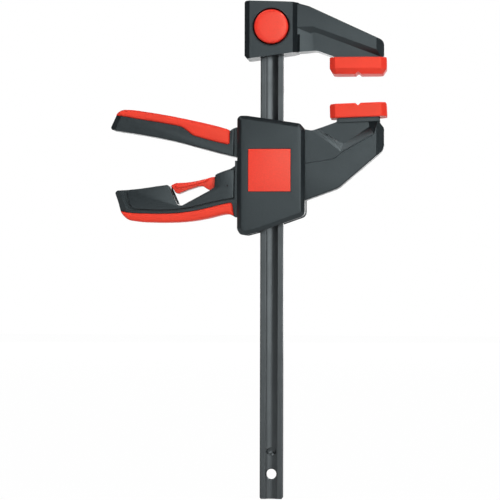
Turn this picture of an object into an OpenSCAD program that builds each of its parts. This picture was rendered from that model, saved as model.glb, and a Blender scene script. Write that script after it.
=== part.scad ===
// Quick release bar clamp for one hand, in millimetres.
// X runs from the bar to the jaw tips, Z up the bar to the head, and -Y is the front.
// Pieces are drawn from the bar's axis and from the face of their own jaw, and are then
// moved, so that the origin is the middle of the fixed jaw's clamping face.

/* [Jaws] */
// Largest opening between the pads
opening = 150; // [110:5:300]
// Opening of the jaws as drawn
rest_gap = 17.5; // [6:0.5:60]
// Distance from the bar's axis to the middle of the pads
jaw_reach = 52.2; // [48:0.1:70]
// Lean of the sliding pad, which flattens out under load, in degrees
toe_in = 2; // [0:0.5:3]
// Thickness of both jaw arms
arm_t = 15; // [13:0.5:17]
// Depth of the sunk panels in the arms
arm_recess = 1.6; // [0.6:0.1:2]
// Depth of the pocket behind the sliding pad
pocket_depth = 3; // [2:0.1:4]

/* [Bar] */
// Width of the bar across its broad faces
bar_w = 14; // [12:0.5:15]
// Thickness of the bar
bar_t = 6; // [5:0.5:7]
// Width of the hollow groove along each broad face
groove_w = 8; // [6:0.5:9]
// Depth of each groove
groove_depth = 1.2; // [0.6:0.1:1.5]
// Diameter of the hanging hole
hang_d = 6; // [4:0.5:7]
// Height of the hanging hole above the bar's lower end
hang_up = 15; // [10:1:25]
// Distance from the pressed stop down to the hanging hole
stop_to_hang = 13.6; // [10:0.2:20]
// Diameter of the pressed stop
stop_d = 5.2; // [4:0.2:6]

/* [Head] */
// Width of the head
head_w = 32.8; // [30:0.1:38]
// Thickness of the head
head_t = 21; // [20:0.5:26]
// Height of the head's top above the clamping face
head_top = 44.7; // [42:0.1:50]
// Sloped edge down each side of the head's faces
head_edge = 2.8; // [1:0.1:3.5]

/* [Push button] */
// Diameter of the button
button_d = 20.5; // [18:0.5:22]
// Height of the button above the head's face
button_stand = 2.5; // [2.2:0.1:4]
// Travel of the button
button_travel = 3.9; // [3.7:0.1:4.2]
// Height of the button's middle above the clamping face
button_up = 28.7; // [27:0.1:29]
// Width of the collar round the button
collar_w = 1.3; // [1:0.1:1.6]
// Diameter of the lock pin
lock_d = 6; // [5:0.2:6.6]

/* [Pads] */
// Length of a pad
pad_len = 34.2; // [30:0.1:40]
// Width of a pad
pad_w = 23; // [20:0.5:26]
// Height of a pad
pad_h = 10; // [9.5:0.25:12]
// Thickness of rubber in front of the jaw
pad_face = 4.5; // [3:0.25:5.5]
// Width of the groove for round stock
vee_w = 3.3; // [2:0.1:5]
// Depth of the groove for round stock
vee_depth = 1.5; // [0.8:0.1:2]

/* [Carriage] */
// Width of the covers
cover_w = 40.8; // [40:0.2:44]
// Height of the covers
cover_h = 72; // [71:0.5:76]
// Depth of the covers' top below the sliding pad's face
cover_drop = 7.4; // [7.2:0.1:9]
// Thickness of the carriage between the covers
core_t = 20; // [19.6:0.2:24]
// Thickness of each cover
cover_t = 3; // [2.8:0.1:4]
// Sloped edge round the front cover
cover_edge = 2.4; // [1:0.1:2.6]
// Side of the square plate on the front cover
plate_w = 25.8; // [15:0.2:27]
// Thickness of the square plate
plate_t = 0.8; // [0.5:0.1:1]

/* [Handles] */
// Length of the pump lever outside the carriage
lever_len = 76.5; // [70:0.5:90]
// Thickness of both handles
handle_t = 16.4; // [16:0.2:18]
// Length of the fixed handle outside the carriage
handle_len = 73.6; // [71:0.2:76]
// Depth of the fixed handle, from its root to its lowest point
handle_drop = 34.6; // [34:0.1:35]
// How far the grips stand out past the handles' faces
grip_proud = 0.6; // [0.2:0.1:1]
// Thickness of each side panel of the fixed handle
panel_t = 2.2; // [1.8:0.1:2.4]
// Width of the groove round each side panel
panel_gap = 0.9; // [0.6:0.1:1.2]

/* [Pump] */
// Stroke of the pump lever, in degrees
pump_stroke = 15; // [8:1:15]
// Radius of the lever's round cam
cam_r = 9.3; // [8.8:0.1:9.5]
// Distance from the lever's pin to the middle of its cam
cam_throw = 6; // [5:0.25:6.5]
// Diameter of the lever's pin
pump_pin_d = 5; // [4:0.25:5.5]
// Thickness of the lever's root between the cheeks
root_t = 13; // [11:0.5:13.5]
// Thickness of one drive plate
drive_plate_t = 2; // [1.5:0.1:2.2]

/* [Release] */
// Length of the release lever from its pin to its tip
release_len = 35; // [34:0.5:35.5]
// Thickness of the release lever
release_t = 11; // [9:0.2:11.6]
// Stroke of the release lever, in degrees
release_stroke = 11; // [6:0.5:12]
// Diameter of the release lever's pin
release_pin_d = 3; // [2.4:0.2:3.6]
// Thickness of the brake plate
brake_t = 3; // [2.5:0.1:3.5]
// Lean of the brake plate while it grips the bar, in degrees
brake_lean = 1.5; // [1:0.1:1.6]

/* [Fits] */
// Clearance between pieces that slide on each other
slide_gap = 0.2; // [0.15:0.01:0.25]
// Clearance between moving pieces that don't touch
free_gap = 0.4; // [0.3:0.05:0.6]
// Running clearance round a pin or a round plunger
run_gap = 0.05; // [0.02:0.01:0.1]
// Clearance between pieces that are fixed together
bond_gap = 0.03; // [0.02:0.01:0.08]

/* [Hidden] */

$fn = 48;
corner_steps = 3; // facets in a rounded corner
cut = 1;          // how far a cut runs past what it cuts

black = [0.2, 0.22, 0.22];
red = [0.93, 0.3, 0.22];
steel = [0.34, 0.36, 0.37];
zinc = [0.7, 0.7, 0.68];

// Head
arm_edge = 0.9;       // sloped edge along both arms
arm_r = 4;            // the arms' round corners
head_r = 3;
neck_side = 4;        // from the jaw's neck to the side of its pad
neck_end = 5;         // from the jaw's neck to the end of its pad
slide_pad_h = pad_h * 0.84;
sunk_drop = 3.4;      // height of the slope into the fixed arm's sunk panel
button_wall = 1.3;
button_crown_r = 1.2;
button_skirt = 4.9;   // depth of the button from its front
boss_wall = 1.6;      // wall of the button's boss round the pin
collar_stand = 0.6;
collar_depth = 3;
spring_clear = 2.9;   // from the pin to the middle of the button spring's wire
button_wire_r = 0.4;
clip_over = 2.2;      // how far the clip stands out round the pin
clip_groove = 1;
clip_t = 1;
clip_behind = 4;      // from the bar to the head's wall that the clip bears on
pin_tail = 1.4;       // the pin behind its clip
bar_under = 3;        // head above the bar's end
countersink = 0.6;
bar_edge = 0.4;
stop_bump = 1.2;

head_left = -head_w / 2;
head_right = head_w / 2;
arm_tip = jaw_reach + pad_len * 0.453;
arm_span = arm_tip - head_right;
web_t = bar_t - 2 * groove_depth;
slot_w = lock_d * 0.7;
button_r = button_d / 2;
button_front = -head_t / 2 - button_stand;
boss_r = lock_d / 2 + boss_wall;
collar_r = button_r + run_gap + collar_w;
well_floor = button_front + button_skirt + button_travel + slide_gap;
clip_r = lock_d / 2 + clip_over;
clip_y = bar_t / 2 + clip_behind;
bar_top = head_top - bar_under;

// Carriage, down from the sliding pad's face
core_edge = 0.5;      // from the covers' outline in to the core's
strip_w = 1.4;        // the core's strip beside the handle
cover_r = 3;
cover_wall = 2.6;
sink_slope = 1.2;     // slope into the pocket behind the sliding pad
pump_in = 6;          // from the bar to the pump lever's pin
pump_raise = 2.2;     // the pump lever's pin above a quarter of the covers' height
pump_z = -cover_drop - cover_h / 4 + pump_raise;
eye_wall = 2.7;
drive_end = 5;        // drive plate past the bar
drive_spring_h = 11.6;
drive_wire_r = 0.6;
drive_spring_in = 1.1; // from the bar's corner to the spring's wire
shelf_t = 2.4;
apex = 14;            // from the pump lever's pin down to the fixed handle's root
release_in = 4.8;     // from the core to the release lever's pin
release_down = 12.2;  // from the fixed handle's root down to the release lever's pin
release_wall = 2.4;
nose_r = 3.2;         // the release lever's nose, which presses on the brake plate
nose_x = -6;
nose_z = -0.8;
tongue_w = 9.4;
tongue_over = 2.8;    // brake plate past the nose
ledge_in = 5;         // from the bar to the ledge that the brake plate turns on
bay_over = 1.6;
bay_in = 12;          // from the bar to the left wall of the brake bay
brake_spring_r = 3;
brake_wire_r = 0.45;
brake_spring_in = 5.6;
brake_spring_h = cover_h * 0.108;
guide_bottom = -74.8;
guide_side = 2;
handle_edge = 0.8;
grip_edge = 0.7;
tang_in = 2.6;        // from a handle's face to the side of its tang
finger_out = 1.5;     // how far the finger pad stands out from the release lever
plate_gap = 1.5;      // from a drive plate's side to the cover
screw_r = 1.3;
screw_head_r = 2.4;
screw_head_h = 1.6;
screw_key_r = 1.1;
screw_wall = 0.8;

core_left = -cover_w / 2 - strip_w;
pump_x = -bar_w / 2 - pump_in;
cam_x = pump_x - cam_throw;
eye_r = pump_pin_d / 2 + eye_wall;
cam_low = pump_z - cam_throw * sin(pump_stroke);
drive_top = pump_z - cam_r - slide_gap;
drive_t = 2 * drive_plate_t;
drive_half = core_t / 2 - plate_gap;
drive_floor = drive_top - drive_t - drive_spring_h;
handle_root = [core_left, pump_z - apex];
strip_bottom = handle_root[1] - 0.905 * handle_drop;
release_x = core_left - release_in;
release_z = handle_root[1] - release_down;
ledge_x = bar_w / 2 + ledge_in;
brake_tip = release_x + nose_x - tongue_over;
brake_top = release_z + nose_z - nose_r - slide_gap
            - (ledge_x - release_x - nose_x) * sin(brake_lean);
bay_right = ledge_x + bay_over;
bay_left = -bar_w / 2 - bay_in;
brake_spring_x = -bar_w / 2 - brake_spring_in;
brake_floor = brake_top - brake_t - brake_spring_h;
web_half = handle_t / 2 - panel_t + grip_proud / 2;
tang_half = handle_t / 2 - tang_in;
grip_half = handle_t / 2 + grip_proud;
cover_front = core_t / 2 + cover_t;
plate_sink = plate_t * 0.8;
plate_x = -cover_w * 0.019;
plate_z = -cover_drop - cover_h * 0.458;
screw_places = [[-bar_w / 2 - drive_end, -cover_drop - cover_h * 0.08],
                [bay_right + 2 * screw_r, -cover_drop - cover_h * 0.2],
                [bay_right + 2 * screw_r, -cover_drop - cover_h * 0.72],
                [bay_left + drive_end, -cover_drop - cover_h * 0.935]];

// Bar
stop_z = guide_bottom - opening - stop_d / 2 - slide_gap;
hang_z = stop_z - stop_to_hang;
bar_bottom = hang_z - hang_up;

// Outlines, as shares of the width and height that they follow, corner by corner.
// A third number is the corner's rounding, as a share of the outline's own radius.
head_shares = [[-0.5, 0.213, 0.7], [0.5, 0.302, 0], [0.5, 0.972, 0], [-0.5, 1, 0.4]];
cover_shares = [[-0.5, 0, 1], [-0.5, -0.95, 1], [-0.455, -0.995, 1], [-0.37, -1, 1],
                [-0.16, -0.969, 3], [0.5, -0.836, 1.2], [0.5, -0.115, 1], [0.43, -0.067, 1],
                [-0.36, 0, 3]];
fixed_arm_shares = [[-0.3, 0.3, 0], [0, 0.306, 0], [0.21, 0.326, 2], [0.4, 0.245, 0],
                    [0.43, 0.224, 0], [0.965, 0.224, 0], [1, 0.25, 0], [1, 0.452, 1],
                    [0.12, 0.924, 2], [0, 0.964, 0], [-0.3, 0.967, 0]];
fixed_line_shares = [[0, 0.635], [0.14, 0.645], [1, 0.31]];
sliding_arm_shares = [[-0.25, -0.26, 0], [-0.25, -0.88, 0], [0, -0.98, 0],
                      [0.39, -0.867, 1.5], [0.44, -0.846, 1.5], [0.985, -0.477, 1],
                      [1, -0.427, 1], [1, -0.247, 0.5], [0.95, -0.197, 0], [0.95, -0.122, 0],
                      [0.403, -0.122, 0], [0.399, -0.184, 0], [0.085, -0.273, 0.7],
                      [0, -0.261, 0]];
sunk_shares = [[0, -0.265], [0, -0.6], [0.29, -0.569], [0.38, -0.548], [0.455, -0.492],
               [0.87, -0.302], [0.86, -0.202], [0.4, -0.182], [0.085, -0.275]];
pocket_shares = [[0.17, -0.272], [0.472, -0.444], [0.855, -0.239], [0.84, -0.162], [0.4, -0.162]];
lever_joint_shares = [[-0.043, -0.02], [-0.059, -0.05], [-0.176, 0.017], [-0.281, 0.093],
                      [-0.341, 0.133], [-0.395, 0.253], [-0.435, 0.313], [-0.475, 0.333],
                      [-0.62, 0.4], [-0.757, 0.453], [-0.951, 0.543]];
lever_low_shares = [[-0.996, 0.298], [-0.984, 0.256], [-0.943, 0.233], [-0.757, 0.16],
                    [-0.62, 0.096], [-0.483, 0.026], [-0.281, -0.112], [-0.16, -0.192],
                    [-0.039, -0.268], [-0.009, -0.28], [-0.008, 0.303], [-0.024, 0.243],
                    [-0.043, 0.193]];
lever_top_shares = [[-0.943, 0.583], [-0.919, 0.63], [-0.891, 0.653], [-0.823, 0.65],
                    [-0.757, 0.627], [-0.62, 0.573], [-0.483, 0.513], [-0.281, 0.403],
                    [-0.16, 0.333], [-0.06, 0.26], [-0.043, 0.233]];
lever_tang_shares = [[-0.1, -0.08], [-0.096, 0.2], [-0.281, 0.32], [-0.483, 0.43],
                     [-0.757, 0.545], [-0.87, 0.565], [-0.87, 0.38], [-0.5, 0.2], [-0.31, 0]];
handle_top_shares = [[0, 0], [-0.037, -0.058], [-0.165, -0.16], [-0.172, -0.38],
                     [-0.212, -0.438], [-0.44, -0.7], [-0.477, -0.686], [-0.544, -0.36],
                     [-0.562, -0.338], [-0.64, -0.359], [-0.782, -0.405], [-0.905, -0.428]];
handle_cap_shares = [[-0.982, -0.437], [-1, -0.464], [-0.974, -0.615]];
handle_joint_shares = [[-0.949, -0.802], [-0.85, -0.829], [-0.64, -0.84], [-0.499, -0.834],
                       [-0.373, -0.802], [-0.249, -0.75], [-0.083, -0.66], [-0.035, -0.645],
                       [-0.021, -0.665], [-0.014, -0.79], [-0.006, -0.89]];
handle_low_shares = [[-0.032, -0.863], [-0.065, -0.845], [-0.107, -0.854], [-0.165, -0.886],
                     [-0.249, -0.93], [-0.373, -0.974], [-0.499, -0.994], [-0.64, -0.997],
                     [-0.79, -0.986], [-0.875, -0.96], [-0.908, -0.916], [-0.935, -0.856]];
handle_tang_shares = [[-0.06, -0.6], [-0.06, -0.76], [-0.12, -0.77], [-0.249, -0.84],
                      [-0.373, -0.89], [-0.499, -0.91], [-0.64, -0.915], [-0.78, -0.905],
                      [-0.88, -0.85], [-0.9, -0.7], [-0.7, -0.78], [-0.4, -0.74], [-0.2, -0.62]];
panel_low_shares = [[-0.878, -0.65], [-0.86, -0.73], [-0.832, -0.765], [-0.64, -0.784],
                    [-0.499, -0.776], [-0.373, -0.738], [-0.249, -0.674], [-0.124, -0.612],
                    [-0.01, -0.574], [-0.006, -0.06]];
release_shares = [[-0.02, -0.115], [0.03, -0.02], [0.03, 0.04], [-0.05, 0.115],
                  [-0.228, 0.167], [-0.54, 0.083], [-0.71, 0.056], [-0.9, 0.05],
                  [-1, 0.005], [-0.95, -0.05], [-0.908, -0.117], [-0.87, -0.139],
                  [-0.71, -0.072], [-0.52, -0.008], [-0.44, 0], [-0.39, -0.033],
                  [-0.34, -0.067], [-0.28, -0.085]];
finger_shares = [[-0.41, -0.035], [-0.41, 0.1], [-0.54, 0.07], [-0.79, 0.04], [-0.79, -0.09],
                 [-0.71, -0.055], [-0.52, -0.02], [-0.44, -0.012]];

function flat(lists) = [for (l = lists) for (p = l) p];
function scaled(shares, from, w, h) =
    [for (s = shares) [from[0] + s[0] * w, from[1] + s[1] * h]];
function unit(v) = v / norm(v);
function turn_left(p) = let(n = len(p))
    [for (i = [0:n - 1]) p[i][0] * p[(i + 1) % n][1] - p[i][1] * p[(i + 1) % n][0]];
function total(v, i = 0) = i < len(v) ? v[i] + total(v, i + 1) : 0;
function wound(p) = total(turn_left(p)) > 0 ? p : [for (i = [len(p) - 1:-1:0]) p[i]];

// The corner b between a and c, as an arc of radius r
function corner(a, b, c, r) = r <= 0 ? [b] :
    let(u = unit(a - b), v = unit(c - b), half = acos(u * v) / 2, turn = 180 - 2 * half,
        middle = b + unit(u + v) * r / sin(half), p = b + u * r / tan(half) - middle,
        q = b + v * r / tan(half) - middle)
    [for (i = [0:corner_steps]) let(t = i / corner_steps)
        middle + p * sin((1 - t) * turn) / sin(turn) + q * sin(t * turn) / sin(turn)];
function rounded(p, r, shares) = let(n = len(p))
    flat([for (i = [0:n - 1])
        corner(p[(i + n - 1) % n], p[i], p[(i + 1) % n], r * (shares[i][2] == undef ? 1 : shares[i][2]))]);

// The outline p, wound to the left, drawn in by d all round
function inset(p, d) = let(n = len(p))
    [for (i = [0:n - 1])
        let(u = unit(p[i] - p[(i + n - 1) % n]), v = unit(p[(i + 1) % n] - p[i]))
        p[i] + [-u[1] - v[1], u[0] + v[0]] * d / (1 + u * v)];
function ring(p, y) = [for (q = p) [q[0], y, q[1]]];
function across(ring) = [for (q = ring) [q[0], q[2]]];

// Triangles that fill an outline wound to the left, one clipped off after another
function side_of(a, b, q) = (b[0] - a[0]) * (q[1] - a[1]) - (b[1] - a[1]) * (q[0] - a[0]);
function blocks(a, b, c, q) = q != a && q != b && q != c && side_of(a, b, q) >= 0
                              && side_of(b, c, q) >= 0 && side_of(c, a, q) >= 0;
function is_ear(p, left, i) = let(n = len(left), a = p[left[(i + n - 1) % n]], b = p[left[i]],
                                  c = p[left[(i + 1) % n]])
    side_of(a, b, c) > 0 && len([for (k = left) if (blocks(a, b, c, p[k])) k]) == 0;
function ears(p, left) = let(n = len(left)) n == 3 ? [left] :
    let(i = [for (k = [0:n - 1]) if (is_ear(p, left, k)) k][0])
    concat([[left[(i + n - 1) % n], left[i], left[(i + 1) % n]]],
           ears(p, [for (k = [0:n - 1]) if (k != i) left[k]]));

// Outlines in place
head_outline = rounded(scaled(head_shares, [0, 0], head_w, head_top), head_r, head_shares);
cover_outline = rounded(scaled(cover_shares, [0, -cover_drop], cover_w, cover_h),
                        cover_r, cover_shares);
fixed_arm = rounded(scaled(fixed_arm_shares, [head_right, 0], arm_span, head_top),
                    arm_r, fixed_arm_shares);
slide_root = [cover_w / 2, 0];
slide_span = arm_tip - cover_w / 2;
slide_h = cover_h * 0.826;
sliding_arm = rounded(scaled(sliding_arm_shares, slide_root, slide_span, slide_h),
                      arm_r, sliding_arm_shares);
lever_root = [core_left, pump_z];
lever_h = lever_len * 0.4;
lever_joint = scaled(lever_joint_shares, lever_root, lever_len, lever_h);
lever_black = wound(concat(lever_joint, scaled(lever_low_shares, lever_root, lever_len, lever_h)));
lever_red = wound(concat(lever_joint, scaled(lever_top_shares, lever_root, lever_len, lever_h)));
lever_tang = wound(scaled(lever_tang_shares, lever_root, lever_len, lever_h));
handle_top = scaled(handle_top_shares, handle_root, handle_len, handle_drop);
handle_joint = scaled(handle_joint_shares, handle_root, handle_len, handle_drop);
handle_black = wound(concat(handle_top,
    scaled(handle_cap_shares, handle_root, handle_len, handle_drop), handle_joint,
    [[core_left, strip_bottom], [pump_x, strip_bottom], [pump_x, handle_root[1]]]));
handle_red = wound(concat(handle_joint,
    scaled(handle_low_shares, handle_root, handle_len, handle_drop)));
handle_tang = wound(scaled(handle_tang_shares, handle_root, handle_len, handle_drop));
panel_outline = wound(concat([for (i = [1:len(handle_top) - 1]) handle_top[i]],
    scaled(panel_low_shares, handle_root, handle_len, handle_drop)));
release_outline = wound([for (s = release_shares) [release_x, release_z] + s * release_len]);
finger_outline = wound([for (s = finger_shares) [release_x, release_z] + s * release_len]);

module at_bar() translate([-jaw_reach, 0, 0]) children();
module at_carriage() translate([-jaw_reach, 0, -rest_gap]) children();

// A closed skin through rings of points. A coil's ends are even, so each is one face.
module skin(rings, coiled = false) {
    n = len(rings[0]);
    last = len(rings) - 1;
    whole = [[for (i = [0:n - 1]) i]];
    front = coiled ? whole : ears(across(rings[0]), whole[0]);
    back = coiled ? whole : ears(across(rings[last]), whole[0]);
    sides = [for (j = [0:last - 1]) for (i = [0:n - 1])
        [j * n + i, j * n + (i + 1) % n, (j + 1) * n + (i + 1) % n, (j + 1) * n + i]];
    polyhedron(flat(rings), concat(
        [for (f = front) [for (i = [len(f) - 1:-1:0]) f[i]]],
        coiled ? flat([for (s = sides) [[s[0], s[1], s[2]], [s[0], s[2], s[3]]]]) : sides,
        [for (f = back) [for (i = f) last * n + i]]));
}

// An outline in X and Z, from y0 to y1, with a sloped edge at either face
module slab(outline, y0, y1, edge0, edge1)
    skin(concat(edge0 > 0 ? [ring(inset(outline, edge0), y0)] : [],
        [ring(outline, y0 + edge0), ring(outline, y1 - edge1)],
        edge1 > 0 ? [ring(inset(outline, edge1), y1)] : []));
module plain(outline, y0, y1)
    translate([0, y1, 0]) rotate([90, 0, 0]) linear_extrude(y1 - y0) polygon(outline);
module rod(x, z, r, y0, y1)
    translate([x, y0, z]) rotate([-90, 0, 0]) cylinder(h = y1 - y0, r = r);
module box(x0, x1, half, z0, z1)
    translate([x0, -half, z0]) cube([x1 - x0, 2 * half, z1 - z0]);

// A wire coil along Z that stands on 0
module coil(mean_r, wire_r, height, turns) {
    sides = 6;
    rings = 8;
    rise = (height - 2 * wire_r) / (turns * rings);
    skin([for (k = [0:turns * rings]) let(a = 360 * k / rings)
        [for (s = [0:sides - 1]) let(b = 360 * s / sides, r = mean_r + wire_r * cos(b))
            [r * cos(a), r * sin(a), wire_r + rise * k + wire_r * sin(b)]]], true);
}

module bar_section() {
    groove_r = (groove_w * groove_w / 4 + groove_depth * groove_depth) / (2 * groove_depth);
    difference() {
        polygon([for (s = [[-1, -1, 0, 1], [-1, -1, 1, 0], [1, -1, 1, 0], [1, -1, 0, 1],
                           [1, 1, 0, 1], [1, 1, 1, 0], [-1, 1, 1, 0], [-1, 1, 0, 1]])
            [s[0] * (bar_w / 2 - s[2] * bar_edge), s[1] * (bar_t / 2 - s[3] * bar_edge)]]);
        for (side = [-1, 1])
            translate([0, side * (bar_t / 2 - groove_depth + groove_r)]) circle(groove_r);
    }
}

module bar() {
    at_bar() color(steel) union() {
        difference() {
            translate([0, 0, bar_bottom]) linear_extrude(bar_top - bar_bottom) bar_section();
            rod(0, hang_z, hang_d / 2, -bar_t, bar_t);
            rod(0, hang_z, hang_d / 2 + countersink, -bar_t, -web_t / 2);
            rod(0, hang_z, hang_d / 2 + countersink, web_t / 2, bar_t);
            rod(0, stop_z, stop_d / 2 - countersink, -bar_t, 0);
            // The flats, the hole and the slot that the lock pin holds
            for (y = [-bar_t, web_t / 2])
                translate([-groove_w / 2, y, button_up - lock_d])
                    cube([groove_w, bar_t - web_t / 2, bar_top - button_up + lock_d + cut]);
            rod(0, button_up, lock_d / 2 + run_gap, -bar_t, bar_t);
            box(-slot_w / 2, slot_w / 2, bar_t, button_up, bar_top + cut);
        }
        rod(0, stop_z, stop_d / 2, 0, bar_t / 2 + stop_bump);
    }
}

module jaw_neck()
    box(jaw_reach - pad_len / 2 + neck_end, jaw_reach + pad_len / 2 - neck_end,
        pad_w / 2 - neck_side, pad_face, pad_h + cut);

// What is cut from the lower half of the fixed arm, in front
module fixed_sunk() {
    line = scaled(fixed_line_shares, [head_right, 0], arm_span, head_top);
    low = [[head_left, -cut], [arm_tip + sunk_drop, -cut]];
    high = [line[2] + [sunk_drop, -sunk_drop / 2], line[1], line[0], [head_left, line[0][1]]];
    sunk = concat(low, [for (p = high) p - [0, sunk_drop]]);
    skin([ring(concat(low, high), -arm_t / 2 - cut), ring(concat(low, high), -arm_t / 2),
          ring(sunk, -arm_t / 2 + arm_recess)]);
}

module fixed_jaw() {
    plan = [for (s = [[-1, -1, 0, 1], [-1, -1, 1, 0], [1, -1, 1, 0], [1, -1, 0, 1],
                      [1, 1, 0, 1], [1, 1, 1, 0], [-1, 1, 1, 0], [-1, 1, 0, 1]])
        [s[0] * (head_w / 2 - s[2] * head_edge), s[1] * (head_t / 2 - s[3] * head_edge)]];
    at_bar() color(black) difference() {
        union() {
            intersection() {
                linear_extrude(head_top + cut) polygon(plan);
                plain(head_outline, -head_t, head_t);
            }
            difference() {
                union() {
                    slab(fixed_arm, -arm_t / 2, arm_t / 2, arm_edge, arm_edge);
                    jaw_neck();
                }
                fixed_sunk();
                mirror([0, 1, 0]) fixed_sunk();
            }
        }
        box(-bar_w / 2 - bond_gap, bar_w / 2 + bond_gap, bar_t / 2 + bond_gap, 0,
            bar_top + bond_gap);
        rod(0, button_up, button_r + run_gap, -head_t, well_floor);
        rod(0, button_up, collar_r + bond_gap, -head_t, -head_t / 2 + collar_depth);
        rod(0, button_up, lock_d / 2 + run_gap, -head_t, head_t);
        rod(0, button_up, clip_r + free_gap, clip_y, head_t);
    }
}

module button_collar()
    at_bar() color(black) difference() {
        rod(0, button_up, collar_r, -head_t / 2 - collar_stand, -head_t / 2 + collar_depth);
        rod(0, button_up, button_r + run_gap, -head_t, 0);
    }

module push_button()
    at_bar() color(red) translate([0, button_front, button_up]) rotate([-90, 0, 0]) difference() {
        rotate_extrude() difference() {
            union() {
                square([button_r - button_crown_r, button_skirt]);
                translate([0, button_crown_r]) square([button_r, button_skirt - button_crown_r]);
                intersection() {
                    translate([button_r - button_crown_r, button_crown_r]) circle(button_crown_r);
                    square(button_r);
                }
            }
            translate([boss_r, button_wall])
                square([button_r - button_wall - boss_r, button_skirt]);
        }
        translate([0, 0, 2 * button_wall])
            cylinder(h = button_skirt, r = lock_d / 2 + bond_gap);
    }

// The pin's waist passes the bar's slot once the button is pressed
module lock_pin() {
    clip_front = clip_y + slide_gap;
    at_bar() color(zinc) difference() {
        rod(0, button_up, lock_d / 2, button_front + 2 * button_wall + bond_gap,
            clip_front + clip_t + pin_tail);
        difference() {
            rod(0, button_up, lock_d, -web_t / 2 - slide_gap - button_travel,
                -web_t / 2 - slide_gap);
            rod(0, button_up, slot_w / 2 - slide_gap, -head_t, head_t);
        }
        difference() {
            rod(0, button_up, lock_d, clip_front, clip_front + clip_t);
            rod(0, button_up, lock_d / 2 - clip_groove, 0, head_t);
        }
    }
}

module pin_clip() {
    throat = lock_d / 2 - clip_groove + bond_gap;
    y0 = clip_y + slide_gap + bond_gap;
    at_bar() color(steel) difference() {
        rod(0, button_up, clip_r, y0, y0 + clip_t - 2 * bond_gap);
        rod(0, button_up, throat, 0, head_t);
        box(-throat, throat, head_t, button_up - clip_r - cut, button_up);
    }
}

module button_spring() {
    start = button_front + button_wall + slide_gap;
    at_bar() color(zinc) translate([0, start, button_up]) rotate([-90, 0, 0])
        coil(lock_d / 2 + spring_clear, button_wire_r, well_floor - slide_gap - start, 4);
}

// A pad of a given height on its back, with its clamping face at 0 and its hollow above
module pad(face_edge, height) {
    top_edge = bar_edge;
    half = [pad_len / 2, pad_w / 2];
    plan = rounded([[-half[0], -half[1]], [half[0], -half[1]], half, [-half[0], half[1]]],
                   pad_w * 0.15, []);
    neck = half - [neck_end - bond_gap, neck_side - bond_gap];
    translate([jaw_reach, 0, 0]) difference() {
        rotate([90, 0, 0]) mirror([0, 0, 1])
            skin([ring(inset(plan, face_edge), 0), ring(plan, face_edge),
                  ring(plan, height - top_edge), ring(inset(plan, top_edge), height)]);
        translate([-neck[0], -neck[1], pad_face - bond_gap])
            cube([2 * neck[0], 2 * neck[1], pad_h]);
        plain([[-1.5 * vee_w, -2 * vee_depth], [1.5 * vee_w, -2 * vee_depth], [0, vee_depth]],
              -pad_w, pad_w);
    }
}

module fixed_jaw_pad() at_bar() color(red) pad(pad_h * 0.22, pad_h);

module on_sliding_face()
    translate([jaw_reach, 0, 0]) rotate([0, -toe_in, 0]) mirror([0, 0, 1])
        translate([-jaw_reach, 0, 0]) children();

module sliding_jaw_pad()
    at_carriage() color(red) on_sliding_face() pad(pad_h * 0.06, slide_pad_h);

// What is cut from the sliding arm in front: its sunk panel and the pocket behind the pad
module sliding_sunk() {
    near = wound(scaled(sunk_shares, slide_root, slide_span, slide_h));
    deep = wound(scaled(pocket_shares, slide_root, slide_span, slide_h));
    plain(near, -arm_t / 2 - cut, -arm_t / 2 + arm_recess / 2);
    skin([ring(deep, -arm_t / 2 - cut), ring(deep, -arm_t / 2),
          ring(inset(deep, sink_slope), -arm_t / 2 + pocket_depth)]);
}

// Room for the pump lever's root over its whole stroke
module lever_bay() {
    half = root_t / 2 + free_gap;
    bottom = cam_low - cam_r - free_gap;
    top = pump_z + cam_r + free_gap;
    rod(cam_x, pump_z, cam_r + free_gap, -half, half);
    rod(cam_x, cam_low, cam_r + free_gap, -half, half);
    rod(pump_x, pump_z, eye_r + free_gap, -half, half);
    box(cam_x, pump_x, half, bottom, pump_z);
    box(core_left - lever_len, cam_x - free_gap, core_t, bottom, top);
    box(core_left - lever_len, cam_x, half, bottom, top);
}

// Room for the release lever and for the brake plate's tongue
module release_bay() {
    half = release_t / 2 + free_gap;
    deep = release_z - (release_len + nose_r) * sin(release_stroke) - nose_r - free_gap;
    tip = release_x - release_len;
    box(brake_tip - free_gap, bay_left + cut, half, brake_top - brake_t - free_gap,
        release_z + release_len * 0.19);
    box(core_left - handle_len * 0.245, bay_left, half, release_z - release_len * 0.155,
        release_z + release_len * 0.19);
    box(tip - free_gap, tip + release_len * 0.22, web_half + cut, deep, 0);
}

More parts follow.
